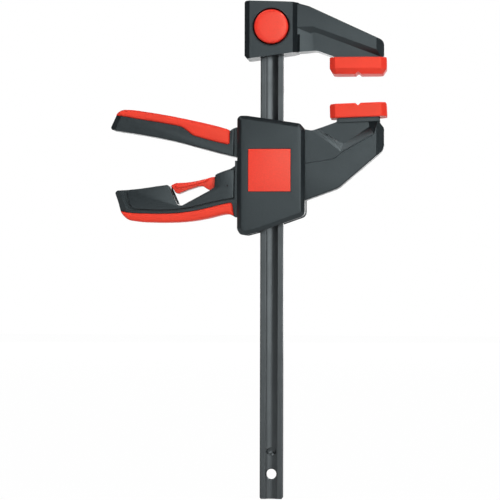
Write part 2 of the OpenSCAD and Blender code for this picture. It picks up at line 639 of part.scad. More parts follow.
module sliding_jaw() {
    at_carriage() color(black) difference() {
        union() {
            plain(inset(cover_outline, core_edge), -core_t / 2, core_t / 2);
            box(core_left, 0, core_t / 2 - core_edge, strip_bottom, pump_z);
            difference() {
                slab(sliding_arm, -arm_t / 2, arm_t / 2, arm_edge, arm_edge);
                sliding_sunk();
                mirror([0, 1, 0]) sliding_sunk();
                on_sliding_face() box(jaw_reach - pad_len / 2, arm_tip, arm_t, -cut,
                                      slide_pad_h + bond_gap);
            }
            on_sliding_face() jaw_neck();
            slab(handle_black, -handle_t / 2, handle_t / 2, handle_edge, handle_edge);
            plain(handle_tang, -tang_half, tang_half);
        }
        lever_bay();
        release_bay();
        // The drive bay, the brake bay under its ledge, and the way for the bar
        box(core_left + strip_w, bay_right, core_t, drive_floor, drive_top + slide_gap);
        box(bay_left, ledge_x - guide_side, core_t, brake_floor, drive_floor - shelf_t);
        box(bay_left, bay_right, core_t, brake_floor, brake_top + slide_gap);
        box(-bar_w / 2 - slide_gap, bar_w / 2 + slide_gap, bar_t / 2 + slide_gap,
            -cover_drop - cover_h, 0);
        box(-bar_w / 2 - guide_side, bar_w / 2 + guide_side, core_t, -cover_drop - cover_h,
            guide_bottom);
        // The seats of the two side panels
        plain(inset(panel_outline, -panel_gap), -core_t, -web_half);
        plain(inset(panel_outline, -panel_gap), web_half, core_t);
        rod(pump_x, pump_z, pump_pin_d / 2 + bond_gap, -core_t, core_t);
        rod(release_x, release_z, release_pin_d / 2 + bond_gap, -core_t, core_t);
        for (s = screw_places) rod(s[0], s[1], screw_r + bond_gap, -core_t, core_t);
    }
}

// A cover seen from behind, hollow inside except round its screws
module cover(edge) {
    y0 = core_t / 2 + bond_gap;
    difference() {
        slab(cover_outline, y0, cover_front, 0, edge);
        difference() {
            plain(inset(cover_outline, cover_wall), y0 - cut, cover_front - cover_t * 0.55);
            for (s = screw_places) rod(s[0], s[1], screw_head_r + screw_wall, 0, cover_front);
        }
    }
}

module front_cover()
    at_carriage() color(black) difference() {
        mirror([0, 1, 0]) cover(cover_edge);
        translate([plate_x - plate_w / 2 - bond_gap, -cover_front - cut,
                   plate_z - plate_w / 2 - bond_gap])
            cube([plate_w + 2 * bond_gap, plate_sink + cut, plate_w + 2 * bond_gap]);
        for (s = screw_places)
            rod(s[0], s[1], screw_r + bond_gap, -core_t / 2 - cover_t * 0.6, 0);
    }

module rear_cover()
    at_carriage() color(black) difference() {
        cover(cover_edge * 0.5);
        for (s = screw_places) {
            rod(s[0], s[1], screw_r + bond_gap, 0, cover_front + cut);
            rod(s[0], s[1], screw_head_r + bond_gap, cover_front - screw_head_h, cover_front + cut);
        }
    }

module name_plate()
    at_carriage() color(red)
        translate([plate_x - plate_w / 2, plate_sink - cover_front - bond_gap - plate_t,
                   plate_z - plate_w / 2])
            cube([plate_w, plate_t, plate_w]);

module cover_screws()
    at_carriage() color(steel) for (s = screw_places) difference() {
        union() {
            rod(s[0], s[1], screw_r, -core_t / 2 - cover_t * 0.6 + bond_gap, cover_front - cut);
            rod(s[0], s[1], screw_head_r, cover_front - screw_head_h + bond_gap,
                cover_front - 2 * bond_gap);
        }
        translate([s[0], cover_front - screw_head_h * 0.6, s[1]]) rotate([-90, 0, 0])
            cylinder(h = screw_head_h, r = screw_key_r, $fn = 6);
    }

// A side panel of the fixed handle, seen from behind
module handle_panel()
    at_carriage() color(black) difference() {
        slab(panel_outline, web_half + bond_gap, web_half + panel_t, 0, handle_edge * 0.6);
        rod(release_x, release_z, release_pin_d / 2 + bond_gap, 0, core_t);
    }

module front_handle_panel() mirror([0, 1, 0]) handle_panel();

module rear_handle_panel() handle_panel();

// A soft grip round the tang of its handle
module grip(outline, tang) difference() {
    slab(outline, -grip_half, grip_half, grip_edge, grip_edge);
    plain(inset(tang, -bond_gap), -tang_half - bond_gap, tang_half + bond_gap);
}

module lower_grip() at_carriage() color(red) grip(handle_red, handle_tang);

module upper_grip() at_carriage() color(red) difference() {
    grip(lever_red, lever_tang);
    rod(cam_x, pump_z, cam_r + bond_gap, -root_t / 2 - bond_gap, root_t / 2 + bond_gap);
}

module pump_pin()
    at_carriage() color(zinc) rod(pump_x, pump_z, pump_pin_d / 2, -core_t / 2, core_t / 2);

module release_pin() {
    half = web_half + panel_t - slide_gap;
    at_carriage() color(steel) rod(release_x, release_z, release_pin_d / 2, -half, half);
}

module pump_lever()
    at_carriage() color(black) difference() {
        union() {
            slab(lever_black, -handle_t / 2, handle_t / 2, handle_edge, handle_edge);
            plain(lever_tang, -tang_half, tang_half);
            rod(cam_x, pump_z, cam_r, -root_t / 2, root_t / 2);
            rod(pump_x, pump_z, eye_r, -root_t / 2, root_t / 2);
        }
        rod(pump_x, pump_z, pump_pin_d / 2 + run_gap, -core_t, core_t);
    }

module drive_plates()
    at_carriage() color(steel) for (z = [drive_top - drive_plate_t, drive_top - drive_t])
        difference() {
            box(core_left + strip_w + slide_gap, bar_w / 2 + drive_end, drive_half,
                z + bond_gap, z + drive_plate_t - bond_gap);
            box(-bar_w / 2 - slide_gap, bar_w / 2 + slide_gap, bar_t / 2 + slide_gap,
                z - cut, z + drive_plate_t + cut);
        }

module drive_spring()
    at_carriage() color(zinc) translate([0, 0, drive_floor + bond_gap])
        coil(norm([bar_w / 2, bar_t / 2]) + drive_spring_in, drive_wire_r,
             drive_spring_h - bond_gap, 4);

module release_lever()
    at_carriage() color(red) difference() {
        union() {
            slab(release_outline, -release_t / 2, release_t / 2, handle_edge, handle_edge);
            plain(finger_outline, -release_t / 2 - finger_out, release_t / 2 + finger_out);
            rod(release_x, release_z, release_pin_d / 2 + release_wall, -release_t / 2,
                release_t / 2);
            rod(release_x + nose_x, release_z + nose_z, nose_r, -release_t / 2, release_t / 2);
        }
        rod(release_x, release_z, release_pin_d / 2 + run_gap, -core_t, core_t);
    }

module brake_plate()
    at_carriage() color(steel) translate([ledge_x, 0, brake_top]) rotate([0, brake_lean, 0])
        difference() {
            union() {
                box(brake_tip - ledge_x, 0, tongue_w / 2, -brake_t, 0);
                box(bay_left + slide_gap - ledge_x, bay_over - free_gap, drive_half, -brake_t, 0);
            }
            box(-bar_w / 2 - slide_gap - ledge_x, bar_w / 2 + slide_gap - ledge_x,
                bar_t / 2 + slide_gap, -brake_t - cut, cut);
        }

module brake_spring() {
    height = brake_spring_h + (ledge_x - brake_spring_x - brake_spring_r) * sin(brake_lean);
    at_carriage() color(zinc) translate([brake_spring_x, 0, brake_floor + bond_gap])
        coil(brake_spring_r - brake_wire_r, brake_wire_r, height - slide_gap, 4);
}

bar();
fixed_jaw();
fixed_jaw_pad();
button_collar();
push_button();
lock_pin();
pin_clip();
button_spring();
sliding_jaw();
sliding_jaw_pad();
front_cover();
rear_cover();
name_plate();
cover_screws();
front_handle_panel();
rear_handle_panel();
lower_grip();
pump_pin();
release_pin();
pump_lever();
upper_grip();
drive_plates();
drive_spring();
release_lever();
brake_plate();
brake_spring();
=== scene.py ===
"""Looks of a one-handed bar clamp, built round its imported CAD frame."""

import logging
import math
from dataclasses import dataclass
from enum import Enum

import bmesh
import bpy
from mathutils import Matrix, Vector


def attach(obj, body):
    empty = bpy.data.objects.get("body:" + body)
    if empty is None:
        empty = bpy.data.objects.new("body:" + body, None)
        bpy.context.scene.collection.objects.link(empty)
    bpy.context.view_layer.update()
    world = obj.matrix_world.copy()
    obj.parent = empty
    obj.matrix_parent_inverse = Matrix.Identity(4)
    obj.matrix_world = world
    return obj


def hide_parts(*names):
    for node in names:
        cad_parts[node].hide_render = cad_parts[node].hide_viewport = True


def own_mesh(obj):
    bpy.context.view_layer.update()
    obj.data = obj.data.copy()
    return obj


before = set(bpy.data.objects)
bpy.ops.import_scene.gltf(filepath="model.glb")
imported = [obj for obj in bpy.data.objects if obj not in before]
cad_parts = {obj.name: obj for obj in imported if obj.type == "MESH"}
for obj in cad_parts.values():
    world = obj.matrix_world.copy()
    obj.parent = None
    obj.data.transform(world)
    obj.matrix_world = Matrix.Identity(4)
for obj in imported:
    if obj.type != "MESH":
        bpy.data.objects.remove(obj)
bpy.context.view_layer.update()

LOG = logging.getLogger("clamp")
MM = 0.001
JAW_REACH = 52.2  # bar's axis to the middle of the pads
REST_GAP = 17.5  # opening of the jaws as drawn
BUTTON_Z = 28.7
LOCK_BORE = 3.05  # radius of the bores round the lock pin
ARM_TIP = 67.69
ARM_HALF = 7.5  # half of both arms' thickness
NECK_HALF = 12.1  # half of the length of the necks inside the pads
HANDLE_HALF = 8.2  # half of both handles' thickness
GRIP_HALF = 8.8
PUMP_PIN = (-13.0, -23.2)
CAM = (-19.0, -23.2)
CAM_R = 9.3
RELEASE_PIN = (-26.6, -49.4)
SCREWS = [(-12.0, -13.16), (16.2, -21.8), (16.2, -59.24), (-14.0, -74.72)]
OVER = 1.0  # how far a cutter runs past what it cuts
FAR = 150.0  # further than any piece reaches
SIDE = 20.0  # further than any piece reaches along Y

Point = tuple[float, float]
Spot = tuple[float, float, float]
Share = tuple[float, ...]  # a corner, and its radius unless it is as round as its edges allow


class Body(Enum):
    """The bodies of the frame that pieces ride on."""

    FRAME = "frame"
    BUTTON = "button"
    CARRIAGE = "carriage"
    LEVER = "squeeze_lever"
    DRIVE = "drive"
    TRIGGER = "trigger"
    BRAKE = "brake"

    @property
    def drop(self) -> float:
        """Gives how far the jaw's face that its pieces are drawn from lies below the origin."""
        return 0.0 if self in (Body.FRAME, Body.BUTTON) else REST_GAP


class Slot(Enum):
    """The record's material slots."""

    BAR_STEEL = "bar_steel"
    BLACK_PLASTIC = "black_plastic"
    RED_PLASTIC = "red_plastic"
    RED_RUBBER = "red_rubber"
    ZINC_STEEL = "zinc_steel"
    PLATE_STEEL = "plate_steel"


# Outlines in X and Z


def unit(a: Point, b: Point) -> Point:
    """Gives the direction from a to b."""
    d = math.dist(a, b)
    return (b[0] - a[0]) / d, (b[1] - a[1]) / d


def scaled(shares: list[Share], root: Point, width: float, height: float) -> list[Share]:
    """Places shares of a width and height.

    Args:
        shares: Corners as shares, with their radii in millimetres.
        root: The point that the shares are counted from.
        width: What an X share is a share of.
        height: What a Z share is a share of.

    Returns:
        Corners in millimetres, with their radii.
    """
    return [(root[0] + x * width, root[1] + z * height, *r) for x, z, *r in shares]


def wound(points: list[Point]) -> list[Point]:
    """Gives an outline wound to the left."""
    area = sum(a[0] * b[1] - b[0] * a[1] for a, b in zip(points, points[1:] + points[:1]))
    return points if area > 0 else points[::-1]


def rounded(corners: list[Share], step: float = 9.0) -> list[Point]:
    """Rounds the corners of an outline.

    Args:
        corners: Corners in millimetres, with their radii, where 0 is sharp.
        step: The most that one facet of an arc turns, in degrees.

    Returns:
        The rounded outline, wound to the left.
    """
    out: list[Point] = []
    for i, (x, z, *radius) in enumerate(corners):
        here = (x, z)
        before, after = corners[i - 1][:2], corners[(i + 1) % len(corners)][:2]
        u, v = unit(here, before), unit(here, after)
        half = math.acos(max(-1.0, min(1.0, u[0] * v[0] + u[1] * v[1]))) / 2
        turn = math.pi - 2 * half
        if radius == [0] or turn < math.radians(1):
            out.append(here)
            continue
        reach = 0.48 * min(math.dist(here, before), math.dist(here, after))
        if radius:
            reach = min(reach, radius[0] / math.tan(half))
        r = reach * math.tan(half)
        mid = (u[0] + v[0], u[1] + v[1])
        size = math.hypot(*mid)
        centre = tuple(h + m / size * r / math.sin(half) for h, m in zip(here, mid))
        p = tuple(h + a * reach - c for h, a, c in zip(here, u, centre))
        q = tuple(h + a * reach - c for h, a, c in zip(here, v, centre))
        count = max(2, math.ceil(math.degrees(turn) / step))
        for k in range(count + 1):
            a = math.sin((1 - k / count) * turn) / math.sin(turn)
            b = math.sin(k / count * turn) / math.sin(turn)
            out.append((centre[0] + p[0] * a + q[0] * b, centre[1] + p[1] * a + q[1] * b))
    return wound(out)


def inset(points: list[Point], distance: float) -> list[Point]:
    """Draws an outline in by a distance, all round.

    Args:
        points: The outline, wound to the left.
        distance: How far in, or out where it is below 0.

    Returns:
        As many points, where those of an arc that is used up fall together.
    """
    count = len(points)
    heads = [unit(p, points[(i + 1) % count]) for i, p in enumerate(points)]
    live = list(range(count))
    while True:
        spots = {after: meet(points, heads, distance, before, after)
                 for before, after in zip(live[-1:] + live[:-1], live)}
        kept = [edge for edge, then in zip(live, live[1:] + live[:1])
                if sum((b - a) * h for a, b, h in zip(spots[edge], spots[then], heads[edge])) > 0]
        if len(kept) == len(live):
            break
        live = kept
    return [spots[next((edge for edge in live if edge >= i), live[0])] for i in range(count)]


def meet(points: list[Point], heads: list[Point], distance: float, first: int,
         second: int) -> Point:
    """Finds where two edges of an outline cross once both are drawn in.

    Args:
        points: The outline.
        heads: The direction of each edge.
        distance: How far they are drawn in.
        first: The number of one edge.
        second: The number of the other.

    Returns:
        The crossing.
    """
    (ux, uz), (vx, vz) = heads[first], heads[second]
    px, pz = points[first][0] - uz * distance, points[first][1] + ux * distance
    qx, qz = points[second][0] - vz * distance, points[second][1] + vx * distance
    cross = ux * vz - uz * vx
    if abs(cross) < 1e-5:
        return qx, qz
    reach = ((qx - px) * vz - (qz - pz) * vx) / cross
    return px + ux * reach, pz + uz * reach


def quarter(radius: float, steps: int = 4) -> list[Point]:
    """Gives a round edge as steps of (inset, depth), from the face down to the side."""
    angles = [math.pi / 2 * k / steps for k in range(steps + 1)]
    return [(radius * (1 - math.sin(a)), radius * (1 - math.cos(a))) for a in angles]


@dataclass(frozen=True)
class Coat:
    """A finish and the record's slot that it follows."""

    slot: Slot
    material: bpy.types.Material


class Solid:
    """A closed mesh being cut to shape, in millimetres from the bar's axis and its jaw's face."""

    def __init__(self, rings: list[list[Spot]]) -> None:
        """Skins rings of points and closes both ends.

        Args:
            rings: Rings of equal length, one after another.
        """
        bm = bmesh.new()
        grid = [[bm.verts.new(p) for p in ring] for ring in rings]
        for low, high in zip(grid, grid[1:]):
            for i, vert in enumerate(low):
                j = (i + 1) % len(low)
                bm.faces.new((vert, low[j], high[j], high[i]))
        bm.faces.new(grid[0][::-1])
        bm.faces.new(grid[-1])
        bmesh.ops.remove_doubles(bm, verts=bm.verts, dist=0.0005)
        bmesh.ops.recalc_face_normals(bm, faces=bm.faces)
        mesh = bpy.data.meshes.new("solid")
        bm.to_mesh(mesh)
        bm.free()
        self.obj = bpy.data.objects.new("solid", mesh)
        bpy.context.scene.collection.objects.link(self.obj)

    @classmethod
    def loft(cls, outline: list[Point], profile: list[Point]) -> "Solid":
        """Stacks an outline along Y.

        Args:
            outline: The outline in X and Z, wound to the left.
            profile: Pairs of inset and Y.

        Returns:
            The solid.
        """
        return cls([[(x, y, z) for x, z in inset(outline, d)] for d, y in profile])

    @classmethod
    def slab(cls, outline: list[Point], half: float, edge: float = 0.0) -> "Solid":
        """Makes a slab about the centre plane.

        Args:
            outline: The outline in X and Z, wound to the left.
            half: Half of the slab's thickness.
            edge: Radius of its round edges.

        Returns:
            The solid.
        """
        if edge == 0:
            return cls.loft(outline, [(0, -half), (0, half)])
        front = [(d, y - half) for d, y in quarter(edge)]
        return cls.loft(outline, front + [(d, -y) for d, y in front[::-1]])

    @classmethod
    def plate(cls, outline: list[Point], y0: float, y1: float) -> "Solid":
        """Makes a plain slab from y0 to y1."""
        return cls.loft(outline, [(0, y0), (0, y1)])

    @classmethod
    def box(cls, x0: float, x1: float, half: float, z0: float, z1: float) -> "Solid":
        """Makes a box about the centre plane."""
        return cls.plate([(x0, z0), (x1, z0), (x1, z1), (x0, z1)], -half, half)

    @classmethod
    def column(cls, plan: list[Point], z0: float, z1: float) -> "Solid":
        """Makes an upright prism from its plan in X and Y."""
        return cls([[(x, y, z) for x, y in plan] for z in (z0, z1)])

    @classmethod
    def turned(cls, x: float, z: float, profile: list[Point], sides: int = 64) -> "Solid":
        """Turns a profile about an axis along Y.

        Args:
            x: Where the axis is.
            z: Where the axis is.
            profile: Pairs of radius and Y, each radius above 0.
            sides: Facets round the axis.

        Returns:
            The solid.
        """
        turns = [2 * math.pi * k / sides for k in range(sides)]
        return cls([[(x + r * math.cos(a), y, z + r * math.sin(a)) for a in turns]
                    for r, y in profile])

    @classmethod
    def rod(cls, x: float, z: float, radius: float, y0: float, y1: float,
            sides: int = 64) -> "Solid":
        """Makes a rod along Y."""
        return cls.turned(x, z, [(radius, y0), (radius, y1)], sides)

    def turn(self, matrix: Matrix) -> "Solid":
        """Moves the solid by a matrix, and keeps its faces outward after a mirror."""
        self.obj.data.transform(matrix)
        if matrix.determinant() < 0:
            self.obj.data.flip_normals()
        return self

    def copy(self) -> "Solid":
        """Copies the solid."""
        twin = object.__new__(Solid)
        twin.obj = self.obj.copy()
        twin.obj.data = self.obj.data.copy()
        bpy.context.scene.collection.objects.link(twin.obj)
        return twin

    def mirrored(self) -> "Solid":
        """Copies the solid to the other side of the centre plane."""
        return self.copy().turn(Matrix.Scale(-1, 4, (0, 1, 0)))

    def bake(self) -> "Solid":
        """Applies the solid's modifiers."""
        graph = bpy.context.evaluated_depsgraph_get()
        mesh = bpy.data.meshes.new_from_object(
            self.obj.evaluated_get(graph), preserve_all_data_layers=True, depsgraph=graph)
        self.obj.modifiers.clear()
        old, self.obj.data = self.obj.data, mesh
        bpy.data.meshes.remove(old)
        return self

    def _combine(self, operation: str, others: tuple["Solid", ...]) -> "Solid":
        """Joins, cuts or trims the solid by others, which are used up."""
        for other in others:
            mod = self.obj.modifiers.new("combine", "BOOLEAN")
            mod.operation, mod.solver, mod.object = operation, "EXACT", other.obj
        self.bake()
        for other in others:
            mesh = other.obj.data
            bpy.data.objects.remove(other.obj)
            bpy.data.meshes.remove(mesh)
        return self

    def join(self, *others: "Solid") -> "Solid":
        """Joins others to the solid."""
        return self._combine("UNION", others)

    def cut(self, *others: "Solid") -> "Solid":
        """Cuts others out of the solid."""
        return self._combine("DIFFERENCE", others)

    def trim(self, *others: "Solid") -> "Solid":
        """Keeps what lies inside the others too."""
        return self._combine("INTERSECT", others)

    def clean(self) -> "Solid":
        """Takes out doubled points and the seams across flat faces."""
        bm = bmesh.new()
        bm.from_mesh(self.obj.data)
        bmesh.ops.remove_doubles(bm, verts=bm.verts, dist=0.002)
        bmesh.ops.dissolve_degenerate(bm, edges=bm.edges, dist=0.002)
        bmesh.ops.dissolve_limit(bm, angle_limit=math.radians(0.4), verts=bm.verts,
                                 edges=bm.edges)
        bm.to_mesh(self.obj.data)
        bm.free()
        return self

    def soften(self, width: float, angle: float = 16.0) -> "Solid":
        """Rounds every edge that is sharper than an angle.

        Args:
            width: Width of the round edge, or 0 to leave the edges.
            angle: The sharpest edge that is left alone, in degrees.

        Returns:
            The same solid.
        """
        self.obj.data.shade_smooth()
        self.obj.data.set_sharp_from_angle(angle=math.radians(angle))
        if width:
            mod = self.obj.modifiers.new("edges", "BEVEL")
            mod.width, mod.segments, mod.limit_method = width, 3, "ANGLE"
            mod.angle_limit, mod.harden_normals = math.radians(angle), True
            mod.use_clamp_overlap = True
            self.bake()
        return self

    def place(self, name: str, node: str, body: Body, coat: Coat) -> bpy.types.Object:
        """Moves the finished solid into the frame as a piece of its own.

        Args:
            name: The piece's name.
            node: The CAD node that it stands for.
            body: The body that it rides on.
            coat: Its finish.

        Returns:
            The piece.
        """
        place = Matrix.Scale(MM, 4) @ Matrix.Translation((-JAW_REACH, 0, -body.drop))
        self.obj.data.transform(place)
        self.obj.name = self.obj.data.name = name
        self.obj.data.materials.clear()
        self.obj.data.materials.append(coat.material)
        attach(self.obj, body.value)
        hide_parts(node)
        LOG.info("%s rides on %s, %d faces", name, body.value, len(self.obj.data.polygons))
        return self.obj


# Shader maths


@dataclass(frozen=True)
class Socket:
    """A shader value that grows Math nodes as it is used in an expression."""

    graph: "Graph"
    link: bpy.types.NodeSocket

    def _math(self, operation: str, first: "Value", second: "Value") -> "Socket":
        """Adds one Math node."""
        return self.graph.add("ShaderNodeMath", {"operation": operation}, {0: first, 1: second})

    def __add__(self, other: "Value") -> "Socket":
        """Adds a value."""
        return self._math("ADD", self, other)

    __radd__ = __add__

    def __sub__(self, other: "Value") -> "Socket":
        """Takes a value away."""
        return self._math("SUBTRACT", self, other)

    def __rsub__(self, other: "Value") -> "Socket":
        """Takes this away from a value."""
        return self._math("SUBTRACT", other, self)

    def __mul__(self, other: "Value") -> "Socket":
        """Multiplies by a value."""
        return self._math("MULTIPLY", self, other)

    __rmul__ = __mul__


Value = Socket | float | tuple[float, ...]


class Graph:
    """The nodes of one material, or of the world."""

    def __init__(self, owner: bpy.types.ID) -> None:
        """Empties the owner's node tree.

        Args:
            owner: A material or a world.
        """
        owner.use_nodes = True
        self.tree = owner.node_tree
        self.tree.nodes.clear()

    def add(self, kind: str, settings: dict[str, object] | None = None,
            inputs: dict[str | int, Value] | None = None, out: str | int = 0) -> Socket | None:
        """Adds a node.

        Args:
            kind: The node's type.
            settings: Its settings. A ramp's stops are pairs of place and colour.
            inputs: Values or links of its sockets, by name or number.
            out: The output that is given back.

        Returns:
            The output, or None for a node without outputs.
        """
        node = self.tree.nodes.new(kind)
        for name, value in (settings or {}).items():
            if name == "stops":
                ramp = node.color_ramp
                while len(ramp.elements) < len(value):
                    ramp.elements.new(0.5)
                for element, (place, colour) in zip(ramp.elements, value):
                    element.position, element.color = place, (*colour, 1)
            else:
                setattr(node, name, value)
        for name, value in (inputs or {}).items():
            if isinstance(value, Socket):
                self.tree.links.new(value.link, node.inputs[name])
            else:
                node.inputs[name].default_value = value
        return Socket(self, node.outputs[out]) if node.outputs else None

    def most(self, first: Value, second: Value) -> Socket:
        """Gives the larger of two values."""
        return self.add("ShaderNodeMath", {"operation": "MAXIMUM"}, {0: first, 1: second})

    def ray(self, kind: str) -> Socket:
        """Gives 1 to rays of a kind, such as Camera, and 0 to the others."""
        return self.add("ShaderNodeLightPath", out=f"Is {kind} Ray")

    def place(self, stretch: Spot = (1, 1, 1)) -> Socket:
        """Gives the place on the piece, stretched along its axes."""
        here = self.add("ShaderNodeTexCoord", out="Object")
        return self.add("ShaderNodeVectorMath", {"operation": "MULTIPLY"}, {0: here, 1: stretch})

    def noise(self, where: Socket, scale: float, detail: float = 2.0) -> Socket:
        """Gives noise from 0 to 1, with so many waves to a metre."""
        return self.add("ShaderNodeTexNoise", None,
                        {"Vector": where, "Scale": scale, "Detail": detail})

    def window(self, value: Socket, low: float, high: float) -> Socket:
        """Spreads a range of a value over 0 to 1."""
        return self.add("ShaderNodeMapRange", None,
                        {"Value": value, "From Min": low, "From Max": high})

    def blend(self, share: Value, first: Value, second: Value) -> Socket:
        """Mixes two colours by a share."""
        return self.add("ShaderNodeMix", {"data_type": "RGBA"}, {0: share, 6: first, 7: second},
                        out=2)

    def edge(self, radius: float) -> Socket:
        """Gives 1 close to a sharp edge and 0 away from it."""
        soft = self.add("ShaderNodeBevel", {"samples": 4}, {"Radius": radius})
        hard = self.add("ShaderNodeNewGeometry", out="Normal")
        same = self.add("ShaderNodeVectorMath", {"operation": "DOT_PRODUCT"},
                        {0: soft, 1: hard}, out="Value")
        return self.window(1 - same, 0.0, 0.12)

    def bump(self, height: Socket, distance: float, strength: float) -> Socket:
        """Turns a height into a normal."""
        return self.add("ShaderNodeBump", None,
                        {"Height": height, "Distance": distance, "Strength": strength})

    def surface(self, **sockets: Value) -> None:
        """Ends the material in a shader.

        Args:
            sockets: Values or links, by the shader's socket names with _ for spaces.
        """
        names = {name.replace("_", " "): value for name, value in sockets.items()}
        shader = self.add("ShaderNodeBsdfPrincipled", None, names)
        self.add("ShaderNodeOutputMaterial", None, {"Surface": shader})


Colour = tuple[float, float, float]


def tone(colour: Colour, factor: float) -> tuple[float, float, float, float]:
    """Gives a lighter or darker colour, for a socket."""
    return (*(min(1.0, c * factor) for c in colour), 1.0)


@dataclass(frozen=True)
class GrainedPlastic:
    """Moulded plastic with a spark-eroded grain, paler along its sharp edges, partly as wear and
    partly as a painted highlight.
    """

    name: str
    colour: Colour
    roughness: float = 0.36
    grain: float = 2300.0
    depth: float = 0.00006
    gloss: float = 0.56
    edge_wear_and_highlight: float = 2.0
    spread: float = 0.3
    veil: Colour = (0.85, 1.0, 1.04)

    def make(self) -> bpy.types.Material:
        """Builds the material."""
        material = bpy.data.materials.new(self.name)
        graph = Graph(material)
        where = graph.place()
        grain = graph.noise(where, self.grain, 1.0)
        mottle = graph.window(graph.noise(where, self.grain * 0.4, 2.0), 0.32, 0.68)
        cloud = graph.noise(where, 38.0, 2.0)
        body = graph.blend(mottle, tone(self.colour, 1 - self.spread),
                           tone(self.colour, 1 + self.spread))
        body = graph.blend(graph.window(cloud, 0.3, 0.7) * 0.3, body, tone(self.colour, 1.15))
        # Sharp edges painted paler: partly wear, partly a painted highlight.
        body = graph.blend(graph.edge(0.0005) * 0.5, body, tone(self.colour, self.edge_wear_and_highlight))
        rough = self.roughness + (cloud - 0.5) * 0.1 + (mottle - 0.5) * 0.1
        graph.surface(Base_Color=body, Roughness=rough, Specular_IOR_Level=self.gloss,
                      Specular_Tint=(*self.veil, 1.0),
                      Normal=graph.bump(grain, self.depth, 0.5))
        return material


@dataclass(frozen=True)
class SoftRubber:
    """Soft moulded rubber, matte and even, flecked a deeper red with its fine grain, with a
    painted highlight along its sharp edges.
    """

    name: str
    colour: Colour
    deep: Colour
    roughness: float = 0.5
    gloss: float = 0.45
    veil: Colour = (1.0, 0.9, 0.6)

    def make(self) -> bpy.types.Material:
        """Builds the material."""
        material = bpy.data.materials.new(self.name)
        graph = Graph(material)
        where = graph.place()
        fine = graph.noise(where, 1900.0, 1.0)
        cloud = graph.window(graph.noise(where, 55.0, 3.0), 0.3, 0.7)
        body = graph.blend(cloud, tone(self.colour, 0.94), tone(self.colour, 1.05))
        body = graph.blend(graph.window(fine, 0.35, 0.65) * 0.16, body, (*self.deep, 1.0))
        # Sharp edges painted paler: a painted highlight.
        body = graph.blend(graph.edge(0.0006) * 0.25, body, tone(self.colour, 1.3))
        graph.surface(Base_Color=body, Roughness=self.roughness + (cloud - 0.5) * 0.08,
                      Specular_IOR_Level=self.gloss, Specular_Tint=(*self.veil, 1.0),
                      Normal=graph.bump(fine, 0.00004, 0.35))
        return material


@dataclass(frozen=True)
class DrawnSteel:
    """Steel with fine lines along one axis, a thin film of oil or zinc, and a painted highlight
    along its sharp edges.
    """

    name: str
    colour: Colour
    roughness: float
    lines: Spot = (1.0, 1.0, 0.02)
    contrast: float = 0.25

    def make(self) -> bpy.types.Material:
        """Builds the material."""
        material = bpy.data.materials.new(self.name)
        graph = Graph(material)
        lines = graph.noise(graph.place(self.lines), 2600.0, 3.0)
        stain = graph.window(graph.noise(graph.place(), 90.0, 3.0), 0.35, 0.7)
        body = graph.blend(lines, tone(self.colour, 1 - self.contrast),
                           tone(self.colour, 1 + self.contrast))
        body = graph.blend(stain * 0.3, body, tone(self.colour, 0.75))
        # Sharp edges painted brighter: a painted highlight.
        body = graph.blend(graph.edge(0.0004) * 0.5, body, tone(self.colour, 1.7))
        graph.surface(Base_Color=body, Metallic=1.0,
                      Roughness=self.roughness + (lines - 0.5) * 0.18 + stain * 0.05,
                      Normal=graph.bump(lines, 0.00003, 0.25))
        return material


BLACK = GrainedPlastic("black_grained_plastic", (0.0065, 0.009, 0.0105))
RED = GrainedPlastic("red_moulded_plastic", (0.79, 0.028, 0.016), roughness=0.36, depth=0.00002,
                     spread=0.05, edge_wear_and_highlight=1.1, veil=(1.0, 0.95, 0.7))
RUBBER = SoftRubber("red_soft_rubber", (0.82, 0.036, 0.02), (0.66, 0.02, 0.015))
BAR_STEEL = DrawnSteel("dark_drawn_steel", (0.075, 0.084, 0.087), 0.31)
ZINC = DrawnSteel("zinc_plated_steel", (0.62, 0.62, 0.6), 0.3, (1.0, 1.0, 1.0), 0.12)
DARK_PIN = DrawnSteel("blackened_pin_steel", (0.03, 0.03, 0.032), 0.4, (1.0, 1.0, 1.0), 0.12)
PLATE_STEEL = DrawnSteel("oiled_plate_steel", (0.3, 0.3, 0.31), 0.38, (0.05, 1.0, 1.0))


class Paint:
    """The finishes, each made once."""

    def __init__(self) -> None:
        """Makes them."""
        self.black = Coat(Slot.BLACK_PLASTIC, BLACK.make())
        self.red = Coat(Slot.RED_PLASTIC, RED.make())
        self.rubber = Coat(Slot.RED_RUBBER, RUBBER.make())
        self.bar = Coat(Slot.BAR_STEEL, BAR_STEEL.make())
        self.zinc = Coat(Slot.ZINC_STEEL, ZINC.make())
        self.dark = Coat(Slot.ZINC_STEEL, DARK_PIN.make())
        self.plate = Coat(Slot.PLATE_STEEL, PLATE_STEEL.make())


# The clamp


